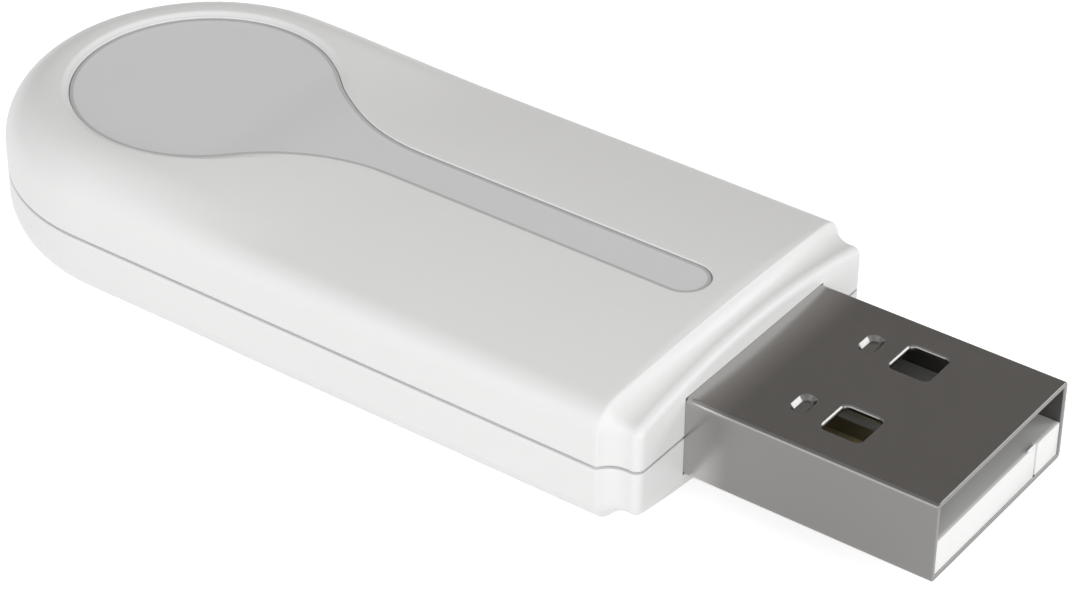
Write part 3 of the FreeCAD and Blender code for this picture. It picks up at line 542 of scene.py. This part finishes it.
def shoulder_run(sizes):
    """(run, inset) along the shoulder: a quick bend, a hollow that rises a little, and the front round."""
    slope, upright = sizes.step_slope, math.pi / 2
    parts = ((0.0, slope, sizes.step_turn, TURN_STEPS),
             (slope, HOLLOW_RISE, sizes.cove * (slope - HOLLOW_RISE), COVE_STEPS),
             (HOLLOW_RISE, upright, sizes.nose * (upright - HOLLOW_RISE), NOSE_STEPS))
    run, inset, stations = 0.0, 0.0, []
    for first, last, arc, steps in parts:
        for i in range(steps):
            angle = first + (last - first) * (i + 0.5) / steps
            run += arc / steps * math.cos(angle)
            inset += arc / steps * math.sin(angle)
            stations.append((run, inset))
    return stations


def shoulder_start(sizes):
    return FACE_X - shoulder_run(sizes)[-1][0]


def guide_points(sizes):
    """Foot of the flare and centre of the stem's end."""
    radius, stem, flare = sizes.guide_radius, sizes.guide_stem / 2, sizes.guide_flare
    reach = math.sqrt((radius + flare) ** 2 - (stem + flare) ** 2)
    return ROUND_X + reach, FACE_X - sizes.guide_end - stem


def keyhole(sizes, grow):
    """Places along the guide's outline, from the middle of its stem's end round the near side and back."""
    stem, flare = sizes.guide_stem / 2 + grow, sizes.guide_flare - grow
    foot_x, end_x = guide_points(sizes)
    rise = stem + flare
    bend = math.degrees(math.atan2(foot_x - ROUND_X, rise))
    chain = Chain(bmesh.new(), end_x + stem, 0)
    chain.arc(end_x, 0, -90, END_STEPS + FRONT_STEPS).line(foot_x, -stem, STEM_STEPS)
    chain.arc(foot_x, -rise, bend, FLARE_STEPS).arc(ROUND_X, 0, -bend, DISC_STEPS)
    chain.arc(ROUND_X, 0, -180, 2 * BACK_STEPS)
    chain.arc(ROUND_X, 0, -bend, DISC_STEPS).arc(foot_x, rise, bend, FLARE_STEPS)
    chain.line(end_x, stem, STEM_STEPS).arc(end_x, 0, -90, END_STEPS + FRONT_STEPS)
    return chain.loop_places()


def disc_share(x):
    """1 around the disc and 0 along the stem."""
    return eased((DISC_END - x) / DISC_LENGTH)


def opening_places(sizes, grow):
    """Places along the guide's outline, its disc drawn in by the width of the rolled rim."""
    plain, drawn_in = keyhole(sizes, grow), keyhole(sizes, grow - sizes.rim_shift)
    return [a.lerp(b, disc_share(a.x)) for a, b in zip(plain, drawn_in)]


def side_outline(form, sizes, inset, z):
    """The housing's plan from the near shoulder, round the back, to the far shoulder, set in."""
    half = HALF_WIDTH - inset
    foot_x, end_x = guide_points(sizes)
    chain = Chain(form, shoulder_start(sizes), -half, z)
    chain.line(end_x, -half, END_STEPS).line(foot_x, -half, STEM_STEPS)
    chain.line(ROUND_X, -half, FLARE_STEPS + DISC_STEPS).arc(ROUND_X, 0, -180, 2 * BACK_STEPS)
    chain.line(foot_x, half, FLARE_STEPS + DISC_STEPS).line(end_x, half, STEM_STEPS)
    return chain.line(shoulder_start(sizes), half, END_STEPS).verts


def fall(sizes, x, depth, crown):
    """How far a crowned face lies below its middle, at a depth in from the side."""
    soft, tight = sizes.back_edge, sizes.side_edge
    back = soft - math.sqrt(max(soft ** 2 - max(soft - depth, 0.0) ** 2, 0.0))
    # the crown is an arc that the tight round meets smoothly
    width = HALF_WIDTH - tight
    radius = (width ** 2 + crown ** 2) / (2 * crown) + tight
    level = math.sqrt((radius - tight) ** 2 - width ** 2)
    touch = radius * width / (radius - tight)
    across = HALF_WIDTH - depth
    if across <= touch:
        side = radius - math.sqrt(radius ** 2 - across ** 2)
    else:
        side = radius - level - math.sqrt(max(tight ** 2 - (across - width) ** 2, 0.0))
    return back + (side - back) * eased((x - CROWN_START) / CROWN_LENGTH)


def top_point(sizes, place, crown):
    """The point of a crowned face above a place."""
    x, y = place.xy
    depth = HALF_WIDTH - (abs(y) if x >= ROUND_X else math.hypot(x - ROUND_X, y))
    return Vector((x, y, TOP_Z - fall(sizes, x, depth, crown)))


def shell(sizes, upper):
    """One shell, its rim at the seam and its crowned face up; the upper one has the guide's opening."""
    form = bmesh.new()
    rim = SEAM_Z + sizes.seam_gap / 2
    small, soft = sizes.seam_round, sizes.back_edge
    crown = sizes.crown if upper else sizes.low_crown
    outline = side_outline(form, sizes, small, rim)
    rows = [outline]
    centre = [Vector((max(v.co.x, ROUND_X), 0, rim)) for v in outline]
    inwards = [(c - v.co).normalized() for c, v in zip(centre, outline)]
    plan = [c - way * HALF_WIDTH for c, way in zip(centre, inwards)]

    def grow(depth, height):
        """Adds a row at a depth in from the side; height(x) is its level."""
        places = [(*(place + way * depth).xy, height(place.x)) for place, way in zip(plan, inwards)]
        rows.append(grown_strip(form, rows[-1], False, places))

    for along, down in quarter(small, SEAM_STEPS):
        grow(small - along, lambda x: rim + down)
    for i in range(1, WALL_ROWS + 1):
        level = rim + small + (TOP_Z - soft - rim - small) * i / (WALL_ROWS + 1)
        grow(0.0, lambda x: level)
    wall_rows = len(rows)
    for depth in [0.0] + [down for _, down in quarter(soft, SOFT_STEPS)] + [soft + TOP_LAND]:
        grow(depth, lambda x: TOP_Z - fall(sizes, x, depth, crown))
    # a line across the front closes the crowned face's loop, which then grows inwards
    outline = rows[-1]
    front = Chain(form, *outline[-1].co)
    front.line(outline[0].co.x, 0, FRONT_STEPS).line(*outline[0].co.xy, FRONT_STEPS)
    for v in front.verts:
        v.co.z = TOP_Z - fall(sizes, v.co.x, HALF_WIDTH - abs(v.co.y), crown)
    bmesh.ops.weld_verts(form, targetmap={front.verts[0]: outline[-1], front.verts[-1]: outline[0]})
    front_line = front.verts[1:-1]
    loop = front_line[FRONT_STEPS - 1:] + outline + front_line[:FRONT_STEPS - 1]
    if upper:
        grow_to_opening(form, sizes, loop)
    else:
        grow_to_middle(form, sizes, loop)
    section = [row[0] for row in rows] + front_line[::-1] + [row[-1] for row in rows][::-1]
    lead_to_face(form, sizes, section, wall_rows)
    close_inside(form, sizes, rim)
    return form


def grow_rings(form, sizes, loop, goals, rings, share, crown):
    """Grows the top's loop in even rings over a share of the way to its goals, following the crown."""
    starts = [v.co.copy() for v in loop]
    for i in range(1, rings + 1):
        places = [a.lerp(b, share * i / rings) for a, b in zip(starts, goals)]
        loop = grown_strip(form, loop, True, [top_point(sizes, place, crown) for place in places])
    return loop


def grow_to_opening(form, sizes, loop):
    """Grows the top's loop inwards to the guide's opening, down its rolled rim and its wall."""
    small, roll = sizes.guide_edge, sizes.rim_roll
    goals = opening_places(sizes, small + roll + RIM_LAND)
    loop = grow_rings(form, sizes, loop, goals, TOP_RINGS, 1.0, sizes.crown)
    profile = [(small + roll * (1 - i / ROLL_STEPS), i / ROLL_STEPS, 0.0) for i in range(ROLL_STEPS + 1)]
    profile += [(small - along, 1.0, down) for along, down in quarter(small, EDGE_STEPS)]
    for grow, share, sink in profile:
        places = [top_point(sizes, place, sizes.crown) for place in opening_places(sizes, grow)]
        for place in places:
            place.z -= sink + eased(share) * sizes.rim_drop * disc_share(place.x)
        loop = grown_strip(form, loop, True, places)
    wall = led_strip(form, loop, True, "z", TOP_Z - sizes.roof_wall)
    # the opening's wall is painted grey with the gap's shade
    for edge in ring(form, wall):
        for face in edge.link_faces:
            face.material_index = 1


def grow_to_middle(form, sizes, loop):
    """Closes the bottom's loop, following its crown."""
    middle = [Vector((min(max(v.co.x, ROUND_X), MIDDLE_END), 0, 0)) for v in loop]
    loop = grow_rings(form, sizes, loop, middle, BOTTOM_RINGS, MIDDLE_SHARE, sizes.low_crown)
    fill(form, ring(form, loop))


def lead_to_face(form, sizes, section, wall_rows):
    """Leads the section through the shoulder, the collar and the front round, along its own normals."""
    base = [v.co.copy() for v in section]
    last = len(base) - 1
    ways = []
    for i, place in enumerate(base):
        if min(i, last - i) <= wall_rows:
            ways.append(Vector((0, -math.copysign(1.0, place.y), 0)))
        else:
            run = base[i + 1] - base[i - 1]
            ways.append(Vector((0, run.z, -run.y)).normalized())
    start, groove = shoulder_start(sizes), FACE_X - sizes.groove_place
    bows = [sizes.step_bow * max(1 - (place.y / (HALF_WIDTH - sizes.side_edge)) ** 2, 0.0) for place in base]
    stations = [(start + run, inset) for run, inset in shoulder_run(sizes)]
    for x, inset in stations + [(FACE_X, stations[-1][1] + sizes.face_land)]:
        left = max((groove - x) / (groove - start), 0.0)
        section = grown_strip(form, section, False, [
            (x + bow * left, *(place + way * inset).yz) for place, way, bow in zip(base, ways, bows)])


def close_inside(form, sizes, rim):
    """Closes the front face round the plug's opening, and makes the room inside."""
    notch_y, notch_z = PLUG_HALF + PLUG_FIT, SEAM_Z + PLUG_RISE + PLUG_FIT
    notch = drawn(form, [(FACE_X, -notch_y, rim), (FACE_X, -notch_y, notch_z), (FACE_X, notch_y, notch_z),
                         (FACE_X, notch_y, rim)])
    corners = [v for v in form.verts if abs(v.co.x - FACE_X) < SAME and abs(v.co.z - rim) < SAME
               and v not in notch]
    for side, end in ((-1, notch[0]), (1, notch[-1])):
        join(form, min((v for v in corners if v.co.y * side > 0), key=lambda v: abs(v.co.y)), end)
    fill(form, open_edges(form, "x", FACE_X))
    wall_x = FACE_X - sizes.front_wall
    deep = led_strip(form, notch, False, "x", wall_x)
    room_y, roof = HALF_WIDTH - sizes.side_wall, TOP_Z - sizes.roof_wall
    room = Chain(form, wall_x, -room_y, rim).line(ROUND_X, -room_y)
    room = room.arc(ROUND_X, 0, -180, ROOM_STEPS).line(wall_x, room_y).verts
    join(form, room[0], deep[0])
    join(form, room[-1], deep[-1])
    fill(form, open_edges(form, "z", rim))
    tops = led_strip(form, room, False, "z", roof)
    join(form, tops[0], tops[-1])
    fill(form, open_edges(form, "x", wall_x))
    fill(form, open_edges(form, "z", roof))


class DONGLE_OT_housing(Operator):
    """Build the two moulded shells with their soft edges, shoulder and seam"""
    bl_idname = "dongle.housing"
    bl_label = "Housing shells"

    def execute(self, context):
        sizes = context.scene.dongle_housing
        top = settle(shell(sizes, True), "housing_top", "upper_housing")
        # second material: the painted shade on the opening's wall
        top.data.materials.append(bpy.data.materials[PAINTED_SHADE_WALL])
        bottom = shell(sizes, False)
        turned_over = Matrix.Translation((0, 0, TOP_Z)) @ Matrix.Diagonal((1, 1, -1, 1))
        bmesh.ops.transform(bottom, matrix=turned_over, verts=bottom.verts)
        settle(bottom, "housing_bottom", "lower_housing")
        return {"FINISHED"}


# Light guide
class DongleGuide(PropertyGroup):
    """Sizes of the light guide let into the top."""
    recess: length("Disc's recess", "Disc's face below the top", 0.28)
    stem_recess: length("Stem's recess", "Stem's face below the top", 0.1)
    gap: length("Gap", "Gap around the guide", 0.03)
    edge: length("Edge", "Small round around the guide's face", 0.04)
    # width of the ring of painted shade around the guide's face
    painted_shade_edge: length("Shaded edge", "Width of the darker line around the guide", 0.17)
    flange: length("Flange", "Eight-sided flange beyond the round opening", 0.55)
    flange_height: length("Flange height", "Thickness of the flange", 0.6)
    pipe_side: length("Light pipe", "Side of the square pipe over each lamp", 1.7)
    pipe_gap: length("Pipe's gap", "Pipe above its lamp", 0.3)


def guide_plate(form, housing, sizes, roof):
    """The guide's face, and its edge ring and wall in painted shade, closed below at the roof."""
    def on_face(grow, sink):
        """The guide's outline on its face, whose disc lies deeper than its stem."""
        places = opening_places(housing, grow)
        for place in places:
            deeper = (sizes.recess - sizes.stem_recess) * disc_share(place.x)
            place.z = TOP_Z - sizes.stem_recess - deeper - sink
        return places

    first = -sizes.gap - sizes.edge
    loop = drawn(form, on_face(first - sizes.painted_shade_edge, 0.0), closed=True)
    half = len(loop) // 2
    sides = edges_along(form, loop[1:half]) + edges_along(form, loop[half + 1:])
    bmesh.ops.bridge_loops(form, edges=sides)
    for tip in (0, half):
        bmesh.ops.contextual_create(form, geom=[loop[tip - 1], loop[tip], loop[tip + 1]])
    inner_faces = set(form.faces)
    for grow, sink in [(0.0, 0.0)] + quarter(sizes.edge, EDGE_STEPS):
        loop = grown_strip(form, loop, True, on_face(first + grow, sink))
    loop = led_strip(form, loop, True, "z", roof)
    # the ring, the small round and the wall get the painted shade; the inner face keeps the guide's colour
    for face in form.faces:
        face.material_index = int(face not in inner_faces)
    fill(form, ring(form, loop))


def guide_flange(form, reach, low, high):
    """An eight-sided flange under the disc, wider than its opening."""
    far = reach / math.cos(math.pi / 8)
    turns = [math.pi / 8 * (2 * i - 1) for i in range(8)]
    eight = drawn(form, [(ROUND_X + far * math.cos(t), far * math.sin(t), high) for t in turns], closed=True)
    base = led_strip(form, eight, True, "z", low)
    fill(form, ring(form, base))
    fill(form, ring(form, eight))


class DONGLE_OT_guide(Operator):
    """Build the light guide with its soft edge, its flange and its light pipes"""
    bl_idname = "dongle.guide"
    bl_label = "Light guide"

    def execute(self, context):
        housing, sizes = context.scene.dongle_housing, context.scene.dongle_guide
        form = bmesh.new()
        roof = TOP_Z - housing.roof_wall
        low = roof - sizes.flange_height
        guide_plate(form, housing, sizes, roof)
        guide_flange(form, housing.guide_radius + sizes.flange, low, roof)
        half = sizes.pipe_side / 2
        for lamp in ("status_lamp", "link_lamp"):
            (x0, y0, _), (x1, y1, top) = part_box(lamp)
            x, y = (x0 + x1) / 2, (y0 + y1) / 2
            add_box(form, (x - half, y - half, top + sizes.pipe_gap), (x + half, y + half, low))
        inlay = settle(form, "guide_inlay", "light_guide")
        # second material: the painted shade on the guide's edge ring and wall
        inlay.data.materials.append(bpy.data.materials[PAINTED_SHADE_WALL])
        return {"FINISHED"}


# Plug
class DonglePlug(PropertyGroup):
    """Sizes of the plug's folded shell."""
    sheet: length("Sheet", "Thickness of the sheet", 0.3)
    bend: length("Bend", "Outside radius of the folds", 0.28)
    mouth_edge: length("Mouth's edge", "Small round of the mouth's edges", 0.06)
    inside: length("Hidden length", "Plug's length inside the housing", 5.0)
    window_length: length("Window length", "Latch window along the plug", 2.1)
    window_width: length("Window width", "Latch window across the plug", 2.25)
    window_spread: length("Window spread", "From window to window", 6.0)
    window_place: length("Window place", "Windows' centres behind the tip", 6.35)
    window_corner: length("Window corner", "Corner round of a window", 0.3)
    window_rim: length("Window rim", "Pressed round around a window", 0.11)
    window_edge: length("Window edge", "Small round of a window's inner edge", 0.04)
    dimple_length: length("Dimple length", "Pressed dimple across the plug", 1.52)
    dimple_width: length("Dimple width", "Pressed dimple along the plug", 0.9)
    dimple_place: length("Dimple place", "Dimples' centres behind the tip", 9.0)
    dimple_depth: length("Dimple depth", "Depth of the dimples", 0.25)
    dimple_wall: length("Dimple wall", "Width of a dimple's sloping wall", 0.25)
    dimple_lip: length("Dimple lip", "Start of a dimple's slope outside its outline", 0.06)
    tab_length: length("Tab length", "Solder tabs behind the shell", 2.4)
    tab_below: length("Tab below", "Solder tabs below the board", 0.5)
    tab_above: length("Tab above", "Solder tabs above the board", 0.8)


# flat strip around folds, windows and dimples, which keeps the flats even in shading
FLAT_EDGE = 0.04 * MM
# (out, down) over a window's pressed rim, in widths of the rim, and (out, up) over its inner edge
PRESSED_RIM = ((1.0, 0.0), (0.86, 0.06), (0.14, 0.94), (0.0, 1.3))
INNER_EDGE = ((0.0, 1.0), (0.3, 0.3), (1.0, 0.0))
# (share of the wall's width, share of the depth) down into a dimple, whose floor has a ring of its own
DIMPLE_WALL = ((0.0, 0.0), (0.12, 0.04), (0.2, 0.14), (0.8, 0.86), (0.88, 0.96), (1.0, 1.0), (1.12, 1.0))
# half the straight stretch at a dimple's round ends
DIMPLE_FLAT = 0.02 * MM
# steps of a window's corner, a fold and the mouth's edge
CORNER_STEPS, BEND_STEPS, MOUTH_STEPS = 6, 6, 4


def slot_places(x, y, along, across, corner, grow):
    """Places along a rectangle with round corners, grown outwards."""
    half_x, half_y, r = along / 2 + grow, across / 2 + grow, corner + grow
    chain = Chain(bmesh.new(), x - half_x + r, y - half_y)
    for side_x, side_y, foot_x, foot_y in ((1, -1, 0, -r), (1, 1, r, 0), (-1, 1, 0, r), (-1, -1, -r, 0)):
        centre_x, centre_y = x + side_x * (half_x - r), y + side_y * (half_y - r)
        chain.line(centre_x + foot_x, centre_y + foot_y).arc(centre_x, centre_y, 90, CORNER_STEPS)
    return chain.loop_places()


def grown_slot(form, outline, profile):
    """Grows a loop along a profile of (grow, level); outline(grow) gives places. Both end loops."""
    first = loop = None
    for grow, level in profile:
        places = [(*place.xy, level) for place in outline(grow)]
        loop = grown_strip(form, loop, True, places) if loop else drawn(form, places, closed=True)
        first = first or loop
    return first, loop


def punched_window(form, sizes, x, y, outer, inner):
    """Walls of a window through a flat sheet between two levels, with its pressed edge; both end loops."""
    def outline(grow):
        return slot_places(x, y, sizes.window_length, sizes.window_width, sizes.window_corner, grow)

    way = math.copysign(1.0, outer - inner)
    rim, small = sizes.window_rim, sizes.window_edge
    profile = [(rim + FLAT_EDGE, outer)]
    profile += [(rim * out, outer - way * rim * down) for out, down in PRESSED_RIM]
    profile += [(small * out, inner + way * small * up) for out, up in INNER_EDGE]
    return grown_slot(form, outline, profile + [(small + FLAT_EDGE, inner)])


def pressed_dimple(form, sizes, x, y, level):
    """A shallow dimple pressed into the flat top; its outer loop."""
    def outline(grow):
        return slot_places(x, y, sizes.dimple_width, sizes.dimple_length,
                           sizes.dimple_width / 2 - DIMPLE_FLAT, grow)

    lip = sizes.dimple_lip
    profile = [(lip + FLAT_EDGE, level)]
    for out, down in DIMPLE_WALL:
        profile.append((lip - sizes.dimple_wall * out, level - sizes.dimple_depth * down))
    first, last = grown_slot(form, outline, profile)
    fill(form, ring(form, last))
    return first


def tube_section(sizes, depth):
    """(y, z) around the shell's section at a depth into the sheet, from the top's far corner on."""
    r, inset = max(sizes.bend - depth, 0.0), max(sizes.bend, depth)
    places = []
    for corner, (side_y, side_z) in enumerate(((1, 1), (1, -1), (-1, -1), (-1, 1))):
        centre = Vector((side_y * (PLUG_HALF - inset), SEAM_Z + side_z * (PLUG_RISE - inset)))
        turns = [math.pi / 2 * (corner + i / BEND_STEPS) for i in range(BEND_STEPS + 1)]
        bend = [centre + Vector((math.sin(t), math.cos(t))) * r for t in turns]
        before, after = [Vector((math.cos(t), -math.sin(t))) * FLAT_EDGE for t in (turns[0], turns[-1])]
        places += [bend[0] - before, *bend, bend[-1] + after]
    return places


def skin(form, loop, x_front, x_back):
    """Leads a loop of the section back along the plug; the edges of its flat bottom and top, left open."""
    loop = led_strip(form, loop, True, "x", x_front - FLAT_EDGE)
    half = len(loop) // 2
    sides = [loop[:half], loop[half:]]
    ends = [led_strip(form, side, False, "x", x_back) for side in sides]
    flats = []
    for a, b in ((0, 1), (1, 0)):
        # the bottom runs from the first side's end to the second's start, the top the other way
        corners = ((sides[a][-1], sides[b][0]), (sides[a][-1], ends[a][-1]), (sides[b][0], ends[b][0]))
        flats.append([join(form, ends[a][-1], ends[b][0])] + [form.edges.get(pair) for pair in corners])
    return flats


def plug_tube(sizes):
    """The folded shell: outside and inside skins, the mouth's edge, windows and dimples."""
    form = bmesh.new()
    small, back = sizes.mouth_edge, FACE_X - sizes.inside
    start = TIP_X - small
    outer_loop = loop = drawn(form, [(start, *place) for place in tube_section(sizes, 0.0)], closed=True)
    mouth = [(start + along, down) for along, down in quarter(small, MOUTH_STEPS)]
    mouth += [(x, sizes.sheet - depth) for x, depth in mouth[::-1]] + [(start, sizes.sheet)]
    for x, depth in mouth:
        loop = grown_strip(form, loop, True, [(x, *place) for place in tube_section(sizes, depth)])
    outside, inside = skin(form, outer_loop, start, back), skin(form, loop, start, back)
    for way, outer_flat, inner_flat in zip((-1, 1), outside, inside):
        outer, inner = SEAM_Z + way * PLUG_RISE, SEAM_Z + way * (PLUG_RISE - sizes.sheet)
        for side in (-1, 1):
            y = side * sizes.window_spread / 2
            first, last = punched_window(form, sizes, TIP_X - sizes.window_place, y, outer, inner)
            outer_flat += ring(form, first)
            inner_flat += ring(form, last)
            if way > 0:
                outer_flat += ring(form, pressed_dimple(form, sizes, TIP_X - sizes.dimple_place, y, outer))
        fill(form, outer_flat)
        fill(form, inner_flat)
    bmesh.ops.remove_doubles(form, verts=form.verts, dist=2 * SAME)
    fill(form, open_edges(form, "x", back))
    (_, _, board_low), (_, _, board_high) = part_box("circuit_board")
    for side in (-1, 1):
        low_y, high_y = sorted((side * (PLUG_HALF - sizes.sheet), side * PLUG_HALF))
        add_box(form, (back - sizes.tab_length, low_y, board_low - sizes.tab_below),
                (back, high_y, board_high + sizes.tab_above))
    return form


class DONGLE_OT_plug(Operator):
    """Build the plug's folded shell with its punched windows and pressed dimples"""
    bl_idname = "dongle.plug"
    bl_label = "Plug shell"

    def execute(self, context):
        settle(plug_tube(context.scene.dongle_plug), "plug_sleeve", "plug_shell", sharp=50)
        return {"FINISHED"}


# Tongue
class DongleTongue(PropertyGroup):
    """Sizes of the white tongue inside the plug."""
    recess: length("Recess", "Tongue behind the plug's mouth", 0.04)
    gap: length("Gap", "Gap between the tongue and the shell's sides", 0.01)
    height: length("Thickness", "Thickness of the tongue", 1.9)
    edge: length("Edges", "Small round on the tongue's edges", 0.04)
    slit_place: length("Slit", "Parting slit from the middle", 3.42)
    slit_width: length("Slit width", "Width of the parting slit", 0.16)
    slit_depth: length("Slit depth", "Depth of the parting slit", 0.2)
    nub_width: length("Nub", "Width of the moulding nub", 0.75)
    nub_height: length("Nub height", "Height of the moulding nub", 0.13)
    nub_depth: length("Nub depth", "Length of the moulding nub along the plug", 0.1)
    mouth_depth: length("Mouth depth", "Open depth above the tongue", 11.9)


def soften(form, amount):
    """Rounds every sharp edge of a form a little."""
    bmesh.ops.recalc_face_normals(form, faces=form.faces)
    sharp = [e for e in form.edges if len(e.link_faces) == 2 and e.calc_face_angle(0) > math.radians(35)]
    bmesh.ops.bevel(form, geom=sharp, offset=amount, segments=2, profile=0.5, affect="EDGES", material=-1,
                    clamp_overlap=True)


class DONGLE_OT_tongue(Operator):
    """Build the tongue with its moulding nub and parting slit"""
    bl_idname = "dongle.tongue"
    bl_label = "Tongue"

    def execute(self, context):
        plug, sizes = context.scene.dongle_plug, context.scene.dongle_tongue
        back, front = FACE_X - plug.inside, TIP_X - sizes.recess
        half = PLUG_HALF - plug.sheet - sizes.gap
        low, high = SEAM_Z - PLUG_RISE + plug.sheet, SEAM_Z + PLUG_RISE - plug.sheet
        top, slit = low + sizes.height, front - sizes.slit_depth
        slit_near, slit_far = sizes.slit_place, sizes.slit_place + sizes.slit_width
        form = bmesh.new()
        plan = drawn(form, [(x, y, low) for x, y in (
            (back, -half), (front, -half), (front, slit_near), (slit, slit_near), (slit, slit_far),
            (front, slit_far), (front, half), (back, half))], closed=True)
        fill(form, ring(form, plan))
        upper = led_strip(form, plan, True, "z", top)
        fill(form, ring(form, upper))
        add_box(form, (back, -half, top), (TIP_X - sizes.mouth_depth, half, high))
        add_box(form, (front - sizes.nub_depth, slit_near - sizes.nub_width, top - sizes.nub_height),
                (front, slit_near, top + sizes.nub_height))
        soften(form, sizes.edge)
        settle(form, "tongue_block", "plug_tongue", sharp=50)
        return {"FINISHED"}


# Panel and registration
SIZES = (("Housing", "dongle_housing", DongleHousing), ("Light guide", "dongle_guide", DongleGuide),
         ("Plug", "dongle_plug", DonglePlug), ("Tongue", "dongle_tongue", DongleTongue),
         ("Finishes", "dongle_finishes", DongleFinishes), ("Studio", "dongle_studio", DongleStudio))
STEPS = (DONGLE_OT_finishes, DONGLE_OT_housing, DONGLE_OT_guide, DONGLE_OT_plug, DONGLE_OT_tongue,
         DONGLE_OT_stage)


class DONGLE_PT_panel(Panel):
    """Lists the sizes, the colours and the steps that dress the dongle"""
    bl_idname = "DONGLE_PT_panel"
    bl_label = "Wireless Dongle"
    bl_space_type = "VIEW_3D"
    bl_region_type = "UI"
    bl_category = "Dongle"

    def draw(self, context):
        for title, name, group in SIZES:
            box = self.layout.box()
            box.label(text=title)
            for key in group.__annotations__:
                box.prop(getattr(context.scene, name), key)
        for step in STEPS:
            self.layout.operator(step.bl_idname)


def register():
    for _, name, group in SIZES:
        bpy.utils.register_class(group)
        setattr(bpy.types.Scene, name, PointerProperty(type=group))
    for thing in STEPS + (DONGLE_PT_panel,):
        bpy.utils.register_class(thing)


def unregister():
    for thing in (DONGLE_PT_panel,) + STEPS[::-1]:
        bpy.utils.unregister_class(thing)
    for _, name, group in SIZES[::-1]:
        delattr(bpy.types.Scene, name)
        bpy.utils.unregister_class(group)


def main():
    register()
    for step in STEPS:
        space, call = step.bl_idname.split(".")
        getattr(getattr(bpy.ops, space), call)()


if __name__ == "__main__":
    main()
